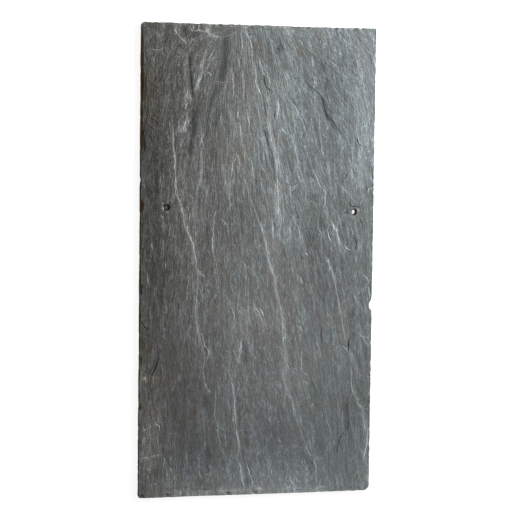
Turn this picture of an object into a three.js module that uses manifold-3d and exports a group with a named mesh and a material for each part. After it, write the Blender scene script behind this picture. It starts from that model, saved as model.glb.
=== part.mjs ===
// A natural slate roof tile: one split sheet of slate, dressed on all four edges and
// holed for two nails, so that it is nailed near the middle of its length.
//
// Millimetres, +Z up. The tile lies on its bed at z = 0 with its riven face up.
// X runs across the tile and +Y up the roof slope, from the tail to the head.

import * as THREE from 'three';
import { mergeVertices } from 'three/addons/utils/BufferGeometryUtils.js';
import Module from 'manifold-3d';

const wasm = await Module();
wasm.setup();

// ---------------------------------------------------------------- driving dimensions

const LENGTH = 598; // head to tail, a nominal 600 dressed by hand
const WIDTH = 303; // across, a nominal 300 dressed by hand
const THICKNESS = 8; // bed to face, on the untouched places
const HALF_W = WIDTH / 2;
const HALF_L = LENGTH / 2;

const CELLS_ACROSS = 12; // grid that carries the face's long waves
const CELLS_ALONG = 24;
const WAVE_ACROSS = 0.2; // height of the grain's rolls, whose crests run head to tail
const WAVE_ALONG = 0.12; // height of the slower swell along the tile
const CALM_RADIUS = 40; // the face is truly flat this near a nail hole
const CALM_FADE = 45;

const ARRIS_HEIGHT = 5.2; // where the dressed bevel starts on the side, above the bed
const ARRIS_INSET = 1.4; // how far the bevel carries the face's outline inwards
const OUTLINE_WOBBLE = 0.45; // how far the dressed outline strays from a straight line

const NAIL_BORE = 6.2; // clear way through the stone
const NAIL_MOUTH = 8; // where the punch burst out of the face
const MOUTH_DEPTH = 2.4;
const NAIL_HOLES = { left: [-117.6, 69.2], right: [125.4, 64.1] };

// ---------------------------------------------------------------- small tools

/** A repeatable source of numbers from 0 to 1. */
function seededRandom(seed) {
  let state = seed;
  return () => {
    state = (state * 1664525 + 1013904223) % 4294967296;
    return state / 4294967296;
  };
}

/** Moves every vertex of a geometry through a function of its position. */
function reshape(geometry, move) {
  const position = geometry.attributes.position;
  const point = new THREE.Vector3();
  for (let i = 0; i < position.count; i += 1) {
    point.fromBufferAttribute(position, i);
    move(point);
    position.setXYZ(i, point.x, point.y, point.z);
  }
  return geometry;
}

/** Turns a closed geometry into a solid that can be cut and joined. */
function toSolid(geometry) {
  geometry.deleteAttribute('normal');
  geometry.deleteAttribute('uv');
  const merged = mergeVertices(geometry, 1e-4);
  return new wasm.Manifold(
    new wasm.Mesh({
      numProp: 3,
      vertProperties: new Float32Array(merged.attributes.position.array),
      triVerts: new Uint32Array(merged.index.array),
    }),
  );
}

/** Turns a finished solid back into a geometry. */
function toGeometry(solid) {
  const mesh = solid.getMesh();
  const geometry = new THREE.BufferGeometry();
  geometry.setAttribute('position', new THREE.BufferAttribute(mesh.vertProperties, 3));
  geometry.setIndex(new THREE.BufferAttribute(mesh.triVerts, 1));
  geometry.computeVertexNormals();
  return geometry;
}

const cutAll = (solid, cutters) => cutters.reduce((rest, cutter) => rest.subtract(cutter), solid);

// ---------------------------------------------------------------- the riven face

/** How much of the long waves is left at a place: none beside the nail holes. */
function waviness(x, y) {
  const distances = Object.values(NAIL_HOLES).map(([hx, hy]) => Math.hypot(x - hx, y - hy));
  return THREE.MathUtils.smoothstep(Math.min(...distances), CALM_RADIUS, CALM_RADIUS + CALM_FADE);
}

/** Height of the unbroken face. The rolls fan out a little from the head to the tail. */
function faceHeight(x, y) {
  const spread = 1 + (HALF_L - y) / (4 * LENGTH);
  const rolls = Math.sin(x / (17 * spread)) * Math.cos(y / 160 + x / 70);
  const swell = Math.sin(y / 78 + x / 110);
  return THICKNESS + waviness(x, y) * (WAVE_ACROSS * rolls + WAVE_ALONG * swell);
}

// ---------------------------------------------------------------- the blank

/** The split sheet before its edges are chipped: waved face, flat bed, bevelled sides. */
function makeBlank() {
  const random = seededRandom(7);
  const grid = new THREE.BoxGeometry(WIDTH, LENGTH, THICKNESS, CELLS_ACROSS, CELLS_ALONG, 2);
  const strays = new Map();
  const strayAt = (x, y) => {
    const key = `${x.toFixed(1)} ${y.toFixed(1)}`;
    if (!strays.has(key)) {
      strays.set(key, { out: random(), inset: random(), level: random() });
    }
    return strays.get(key);
  };
  return reshape(grid, (point) => {
    const level = Math.round((point.z / THICKNESS + 0.5) * 2);
    const sideX = Math.abs(point.x) > HALF_W - 0.01 ? Math.sign(point.x) : 0;
    const sideY = Math.abs(point.y) > HALF_L - 0.01 ? Math.sign(point.y) : 0;
    const { x, y } = point;
    point.z = level === 2 ? faceHeight(x, y) : 0;
    if (sideX === 0 && sideY === 0) {
      return;
    }
    const stray = strayAt(x, y);
    const bevel = level === 2 ? ARRIS_INSET * (0.6 + stray.inset) : 0;
    const inward = bevel + OUTLINE_WOBBLE * stray.out;
    point.x -= sideX * inward;
    point.y -= sideY * inward;
    if (level === 1) {
      point.z = ARRIS_HEIGHT + 1.2 * (stray.level - 0.5);
    }
  });
}

// ---------------------------------------------------------------- cleavage steps

/**
 * A sheet of stone lost from the face between a broken edge and the line where the loss
 * feathers out. The floor lies `step` below the face at the broken edge and `far` below
 * it at the other side of the reach, so a negative `far` makes it rise out of the face.
 */
function lostFlake({ edge, reach, step, far = -0.3 }, side = 1) {
  const [dx, dy] = reach;
  const along = [edge.at(-1)[0] - edge[0][0], edge.at(-1)[1] - edge[0][1]];
  const route = along[0] * dy - along[1] * dx > 0 ? edge : [...edge].reverse();
  const curve = new THREE.SplineCurve(route.map(([x, y]) => new THREE.Vector2(x, y)));
  const pieces = Math.round(edge.length * 1.4);
  const sheet = new THREE.BoxGeometry(1, 1, 1, 1, pieces, 1);
  const start = new THREE.Vector2();
  reshape(sheet, (point) => {
    const across = point.x + 0.5;
    const t = 0.5 - point.y;
    const taper = Math.min(1, t / 0.14, (1 - t) / 0.14);
    curve.getPoint(t, start);
    const isFloor = point.z < 0;
    point.x = start.x + dx * across;
    point.y = start.y + dy * across;
    const depth = across < 0.5 ? (step + 0.2) * taper - 0.2 : far;
    point.z = isFloor ? faceHeight(point.x, point.y) - depth : THICKNESS + 4;
    if (side < 0) {
      point.z = isFloor ? depth : -4;
    }
  });
  if (side < 0) {
    turnInsideOut(sheet);
  }
  return toSolid(sheet);
}

/** Reverses a geometry's faces, after it was mirrored. */
function turnInsideOut(geometry) {
  const index = geometry.index;
  for (let i = 0; i < index.count; i += 3) {
    const second = index.getX(i + 1);
    index.setX(i + 1, index.getX(i + 2));
    index.setX(i + 2, second);
  }
}

// Steps on the face, from the left edge to the right one. Each edge is a walk of [x, y].
const FACE_FLAKES = [
  { // the long ridge left of the middle
    edge: [[-112, 190], [-110, 150], [-107.5, 130], [-106, 90], [-99, 68], [-94, 44], [-84, 24], [-81, 6],
      [-78, -18], [-79, -48], [-80, -72], [-74, -97], [-68, -120], [-69, -145], [-63, -162], [-52, -172]],
    reach: [40, 4], step: 0.7,
  },
  { // its lower neighbour, running on to the tail
    edge: [[-56, -140], [-53, -168], [-54, -192], [-50, -210], [-47, -230], [-40, -248], [-30, -262]],
    reach: [26, 3], step: 0.45,
  },
  {
    edge: [[-72, 172], [-74, 150], [-73, 125], [-74, 106], [-66, 84], [-57, 58], [-59, 30], [-57, 9],
      [-52, -12], [-50, -38], [-47, -62]],
    reach: [27, 2], step: 0.4,
  },
  { // the pale seam that runs off the tail left of the middle
    edge: [[-19, -92], [-23, -122], [-32, -150], [-28, -172], [-27, -205], [-22, -232], [-20, -258],
      [-15, -288], [-12, -330]],
    reach: [22, 2], step: 0.45,
  },
  { // the upper middle: the stone left of this edge is gone
    edge: [[24, 92], [20, 112], [14, 132], [10.5, 148], [10, 172], [4, 205], [-6, 245]],
    reach: [-24, -3], step: 0.55,
  },
  { // the long ridge right of the middle
    edge: [[-5, 62], [3, 43], [10, 26], [12, 10], [17, -9], [23, -22], [23, -36], [30, -58], [33, -84],
      [36, -108], [44, -134], [58, -148]],
    reach: [38, 4], step: 0.65,
  },
  {
    edge: [[33, -112], [35, -150], [46, -174], [51, -196], [61, -222], [70, -246], [79, -260], [82, -290],
      [84, -330]],
    reach: [36, 4], step: 0.5,
  },
  {
    edge: [[32, 192], [41, 168], [46, 145], [52, 122], [59, 102], [62, 84], [64, 66]],
    reach: [21, 5], step: 0.4,
  },
  {
    edge: [[66, 128], [75, 107], [86, 89], [87, 72], [95, 54], [103, 40], [109, 20], [122, 10]],
    reach: [24, 7], step: 0.6,
  },
  { // the long ridge on the right
    edge: [[82, 24], [92, 2], [99, -15], [103, -36], [108, -60], [114, -84], [118, -106], [127, -124]],
    reach: [32, 3], step: 0.6,
  },
  {
    edge: [[125, -142], [127, -165], [134, -183], [143, -196], [146, -212], [154, -228]],
    reach: [24, 2], step: 0.5,
  },
  { // the dark step at the upper right: the stone below and left of it is gone
    edge: [[112, 156], [104, 168], [96, 179], [88, 186], [84, 200], [79, 213], [66, 222], [52, 236]],
    reach: [-24, -17], step: 0.75,
  },
  { // the smooth cleaved plane along the right edge
    edge: [[116, 268], [124, 236], [128, 205], [127, 166], [133, 148], [128, 132], [119, 114], [107, 99],
      [120, 89], [136, 83]],
    reach: [48, 2], step: 0.45,
  },
  { // from the head down the left: the floor climbs to the right
    edge: [[-56, 292], [-60, 275], [-69, 261], [-73, 243], [-78, 224], [-85, 204], [-90, 186]],
    reach: [32, -4], step: 0.5,
  },
  {
    edge: [[-84, 196], [-86, 215], [-88, 235], [-90, 252], [-94, 272]],
    reach: [-17, 1], step: 0.5,
  },
];

// Stone burst off along the edges: the loss deepens outwards.
const EDGE_SPALLS = [
  { // the head, left of the middle
    edge: [[-114, 303], [-110, 291], [-103, 281], [-95, 274], [-90, 273], [-81, 279], [-71, 285],
      [-55, 283], [-41, 284], [-33, 291], [-26, 303]],
    reach: [0, 36], step: 0.35, far: 3,
  },
  { // the head, right of the middle
    edge: [[28, 302], [36, 290], [42, 284], [50, 291], [62, 290], [75, 292], [88, 293], [98, 303]],
    reach: [0, 30], step: 0.3, far: 2.4,
  },
  { // the upper left edge
    edge: [[-154, 250], [-147, 236], [-145, 210], [-144, 184], [-144, 158], [-147, 138], [-154, 122]],
    reach: [-26, 0], step: 0.4, far: 5,
  },
  { // two shells on the right edge
    edge: [[154, -14], [147, -26], [137, -37], [130, -47], [133, -57], [142, -66], [154, -74]],
    reach: [28, 0], step: 0.35, far: 2.2,
  },
  {
    edge: [[154, -74], [144, -84], [136, -93], [143, -103], [154, -116]],
    reach: [24, 0], step: 0.35, far: 2,
  },
  { // the sheet lost above the tail's left corner
    edge: [[-162, -251], [-148, -248.5], [-136, -246], [-124, -244], [-117, -240]],
    reach: [0, 54], step: 0.5, far: -0.2,
  },
  { // the tail, left and right
    edge: [[-110, -303], [-104, -291], [-88, -286], [-72, -291], [-56, -286], [-44, -303]],
    reach: [0, -30], step: 0.25, far: 2.6,
  },
  {
    edge: [[72, -303], [82, -289], [98, -292], [122, -290], [136, -303]],
    reach: [0, -28], step: 0.25, far: 2.4,
  },
];

// Steps on the bed, seen only when the tile is turned over.
const BED_FLAKES = [
  { edge: [[-120, 240], [-112, 180], [-96, 110], [-90, 40], [-82, -30]], reach: [44, 0], step: 0.5 },
  { edge: [[-60, -20], [-48, -90], [-40, -170], [-36, -250], [-30, -330]], reach: [38, 0], step: 0.45 },
  { edge: [[20, 330], [28, 240], [40, 160], [46, 90], [58, 30]], reach: [40, 4], step: 0.5 },
  { edge: [[92, 60], [100, -20], [112, -100], [116, -190], [124, -240]], reach: [30, 0], step: 0.4 },
  { edge: [[-128, -60], [-124, -130], [-112, -200], [-104, -262]], reach: [34, 2], step: 0.4 },
];

// ---------------------------------------------------------------- dressed edges

/** A shell-shaped chip: a faceted ball squashed to the bite of one knife blow. */
function chip(x, y, z, [sizeX, sizeY, sizeZ], turn) {
  const ball = new THREE.OctahedronGeometry(1, 1);
  ball.rotateZ(turn);
  ball.scale(sizeX, sizeY, sizeZ);
  ball.translate(x, y, z);
  return toSolid(ball);
}

/** The row of knife bites along one edge, from the face side. */
function dressEdge({ axis, side, pitch, bite, drop, seed }) {
  const random = seededRandom(seed);
  const chips = [];
  const [across, half] = axis === 'x' ? [HALF_W, HALF_L] : [HALF_L, HALF_W];
  for (let s = -half + pitch / 2; s < half; s += pitch * (0.7 + 0.6 * random())) {
    const length = pitch * (0.5 + 0.35 * random());
    const depth = bite * (0.45 + 0.9 * random() ** 2);
    const height = drop * (0.5 + 0.8 * random());
    const place = side * (across - 0.2);
    const [x, y] = axis === 'x' ? [place, s] : [s, place];
    const sizes = axis === 'x' ? [depth, length, height] : [length, depth, height];
    chips.push(chip(x, y, THICKNESS + 0.2, sizes, random() * Math.PI));
  }
  return chips;
}

const DRESSED_EDGES = [
  { axis: 'x', side: -1, pitch: 14, bite: 3, drop: 3.2, seed: 11 }, // left
  { axis: 'x', side: 1, pitch: 12, bite: 2.6, drop: 3.4, seed: 23 }, // right
  { axis: 'y', side: 1, pitch: 9, bite: 5, drop: 3.2, seed: 37 }, // head
  { axis: 'y', side: -1, pitch: 10, bite: 3.6, drop: 2.8, seed: 41 }, // tail
];

/** Takes one corner of the tile off, straight up, along an arc of the given radius. */
function corner(signX, signY, radius) {
  const shape = new THREE.Shape();
  const beyond = 4;
  shape.moveTo(beyond, beyond);
  shape.lineTo(-radius, beyond);
  shape.lineTo(-radius, 0);
  shape.absarc(-radius, -radius, radius, Math.PI / 2, 0, true);
  shape.lineTo(beyond, -radius);
  const prism = new THREE.ExtrudeGeometry(shape, {
    depth: THICKNESS + 4,
    bevelEnabled: false,
    curveSegments: 5,
  });
  prism.translate(HALF_W, HALF_L, -2);
  reshape(prism, (point) => {
    point.x *= signX;
    point.y *= signY;
  });
  if (signX * signY < 0) {
    const ordered = mergeVertices(prism);
    turnInsideOut(ordered);
    return toSolid(ordered);
  }
  return toSolid(prism);
}

// Chips that go right through the stone and show in its outline.
const THROUGH_CHIPS = [
  { at: [153.5, -56.5], size: [5.6, 8.5] },
  { at: [153.4, -31], size: [2.6, 6] },
  { at: [153.2, 161], size: [2.6, 6] },
  { at: [-152.6, 103], size: [2, 6] },
  { at: [-120, 301.4], size: [7, 3.2] },
  { at: [48, 301.2], size: [5, 3] },
  { at: [136, -300.6], size: [8, 2.6] },
];

// ---------------------------------------------------------------- nail holes

/** The punched way through: a straight bore that bursts open towards the face. */
function nailBore([x, y]) {
  const bore = NAIL_BORE / 2;
  const beyond = 2;
  const profile = [
    new THREE.Vector2(0, -beyond),
    new THREE.Vector2(bore, -beyond),
    new THREE.Vector2(bore, THICKNESS - MOUTH_DEPTH),
    new THREE.Vector2(NAIL_MOUTH / 2, THICKNESS + 0.1),
    new THREE.Vector2(NAIL_MOUTH / 2, THICKNESS + beyond),
    new THREE.Vector2(0, THICKNESS + beyond),
  ];
  const turned = new THREE.LatheGeometry(profile, 16);
  turned.rotateX(Math.PI / 2);
  turned.translate(x, y, 0);
  return toSolid(turned);
}

/** A thin flat-bottomed layer that the punch lifted off round a hole. */
function liftedLayer(outline, depth) {
  const shape = new THREE.Shape();
  shape.moveTo(...outline[0]);
  shape.splineThru([...outline.slice(1), outline[0]].map(([x, y]) => new THREE.Vector2(x, y)));
  const layer = new THREE.ExtrudeGeometry(shape, { depth: 4, bevelEnabled: false, curveSegments: 2 });
  layer.translate(0, 0, THICKNESS - depth);
  return toSolid(layer);
}

function nailHoleCuts() {
  const { left, right } = NAIL_HOLES;
  return [
    nailBore(left),
    nailBore(right),
    chip(left[0] - 5, left[1] + 0.5, THICKNESS + 0.2, [2.8, 3.4, 1.4], 0.3),
    chip(left[0] - 3.4, left[1] - 4, THICKNESS + 0.2, [2.6, 1.8, 1.1], 0.9),
    chip(right[0] + 1.5, right[1] + 3.2, THICKNESS - 0.4, [3, 2.2, 1.2], 0.2),
    liftedLayer([[119, 76], [121, 72], [127, 71.5], [133.5, 71], [134, 65], [131, 59], [124, 57.5],
      [117, 60], [112, 62], [112, 68], [116, 72]], 0.6),
  ];
}

// ---------------------------------------------------------------- assembly

function makeTile() {
  const blank = toSolid(makeBlank());
  const cutters = [
    ...FACE_FLAKES.map((flake) => lostFlake(flake)),
    ...EDGE_SPALLS.map((flake) => lostFlake(flake)),
    ...BED_FLAKES.map((flake) => lostFlake(flake, -1)),
    ...DRESSED_EDGES.flatMap(dressEdge),
    ...THROUGH_CHIPS.map(({ at, size }) => chip(at[0], at[1], THICKNESS / 2, [...size, 40], 0.4)),
    corner(-1, 1, 6),
    corner(1, -1, 9),
    corner(-1, -1, 3.5),
    corner(1, 1, 2),
    ...nailHoleCuts(),
  ];
  return toGeometry(cutAll(blank, cutters));
}

const slateGrey = new THREE.MeshStandardMaterial({ color: 0x62676a, roughness: 0.72, metalness: 0 });
const tile = new THREE.Mesh(makeTile(), slateGrey);
tile.name = 'slate_tile';

const group = new THREE.Group();
group.add(tile);

export default group;
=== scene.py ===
"""Dresses a natural slate roof tile: its riven face, dressed edges, stains and a plain studio stage."""

import math

import bpy
import numpy as np
from bpy.props import FloatProperty, FloatVectorProperty, IntProperty, PointerProperty
from mathutils import Matrix, Vector
from mathutils.bvhtree import BVHTree


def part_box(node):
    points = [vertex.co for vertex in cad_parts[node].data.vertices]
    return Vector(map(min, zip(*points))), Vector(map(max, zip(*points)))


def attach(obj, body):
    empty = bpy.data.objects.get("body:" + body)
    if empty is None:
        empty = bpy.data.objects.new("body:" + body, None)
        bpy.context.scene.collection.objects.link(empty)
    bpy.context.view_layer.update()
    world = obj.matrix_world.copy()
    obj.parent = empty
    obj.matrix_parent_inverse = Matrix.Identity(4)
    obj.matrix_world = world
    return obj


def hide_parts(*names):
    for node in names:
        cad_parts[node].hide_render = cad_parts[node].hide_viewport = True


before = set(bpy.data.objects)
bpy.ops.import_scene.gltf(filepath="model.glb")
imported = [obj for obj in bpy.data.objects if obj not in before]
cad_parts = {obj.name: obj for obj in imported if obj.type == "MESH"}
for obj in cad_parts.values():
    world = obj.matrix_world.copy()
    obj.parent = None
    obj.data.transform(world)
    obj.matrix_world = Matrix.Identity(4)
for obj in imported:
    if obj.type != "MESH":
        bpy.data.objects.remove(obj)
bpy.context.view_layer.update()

bl_info = {
    "name": "Slate Roof Tile",
    "version": (1, 0, 0),
    "blender": (4, 5, 0),
    "location": "3D View > Sidebar > Slate Tile",
    "description": "Makes the riven, stained stone of a slate roof tile and a soft studio stage",
    "category": "Add Mesh",
}

MM = 0.001
BODY = "root"
NODE = "slate_tile"

# Sizes and places are millimetres, unless a comment says otherwise.
LOW, HIGH = (Vector(corner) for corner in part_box(NODE))
HALF_WIDTH = max(-LOW.x, HIGH.x) / MM
HALF_LENGTH = max(-LOW.y, HIGH.y) / MM
BOX_MARGIN = 0.01  # the outline stays this far inside the solid's box
TO_LIGHT = np.array([0.74, 0.67])  # about the way to the light, in the tile's plan

FACE = 8.0  # height of the unbroken face above the bed
MISSED_FACE = 7.6  # height taken where a ray misses the solid
LOWEST_FACE = 3.5
ARRIS_REACH = 2.6  # the face's height at its border is taken this far in
TAIL_REACH = 3.8  # and this far in along the tail, which is cut cleaner
ARRIS_WEAR = 1.0  # deepest wear of the border

LEFT_HOLE = (-117.6, 69.2)
RIGHT_HOLE = (125.4, 64.1)
HOLES = (LEFT_HOLE, RIGHT_HOLE)
BORE_RADIUS = 3.12
BORE_ROUGHNESS = 0.28  # its rough wall stands in by about this much
BORE_FLARE = (5.8, 1.8)  # it widens by 1 from this height, over this much more of it

SHARP_ANGLE = math.radians(38)

# The dirt in the left hole: radii, and heights above the bed.
DIRT_RADIUS = 3.0
DIRT_FOOT_RADIUS = 2.7
DIRT_TOP = 5.8
DIRT_RIM = 4.3
DIRT_FOOT = 2.4

# What a point of the stone's mesh belongs to, as the relief reads it.
ON_FACE, ON_SIDE, ON_BED = 1.0, 0.0, -1.0

# The inputs of the relief's node tree; each is also a setting.
RELIEF_SIZES = (
    "Grain Width", "Grain Length", "Grain Depth",
    "Sheet Width", "Sheet Length", "Sheet Depth",
    "Layer Depth",
)

FLOOR_HALF = 4.0  # metres
ROOM_COLOUR = (1.0, 0.985, 0.96, 1.0)
KEY_COLOUR = (0.93, 0.97, 1.0)
KEY_SIZE = 0.6  # metres
KEY_AZIMUTH = math.radians(33)
KEY_ELEVATION = math.radians(31)
KEY_DISTANCE = 1.25  # metres
CAMERA_LENS = 106.8
CAMERA_SENSOR = 36.0
CAMERA_PLACE = (-402.8, 136.7, 1882.7)
CAMERA_TARGET = (-4.15, 9.0, 8.0)
CAMERA_ROLL = math.radians(0.68)

# ------------------------------------------------------------------ what lies on the face
# Places lie in the tile's own plan: x across it, y towards the head. The plan of the lines was
# drawn a shade too wide, and PLAN_SCALE and PLAN_SHIFT bring it onto the stone.

PLAN_SCALE = np.array([0.997, 0.9987])
PLAN_SHIFT = np.array([-0.3, 0.1])
SEAM_STRENGTH, SEAM_WIDTH = 1.06, 0.72  # the seams are this much of what their rows say
CRACK_STRENGTH, CRACK_WIDTH = -1.0, 1.35  # and so are the cracks, which count as negative
TONE_STRENGTH = 1.1

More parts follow.
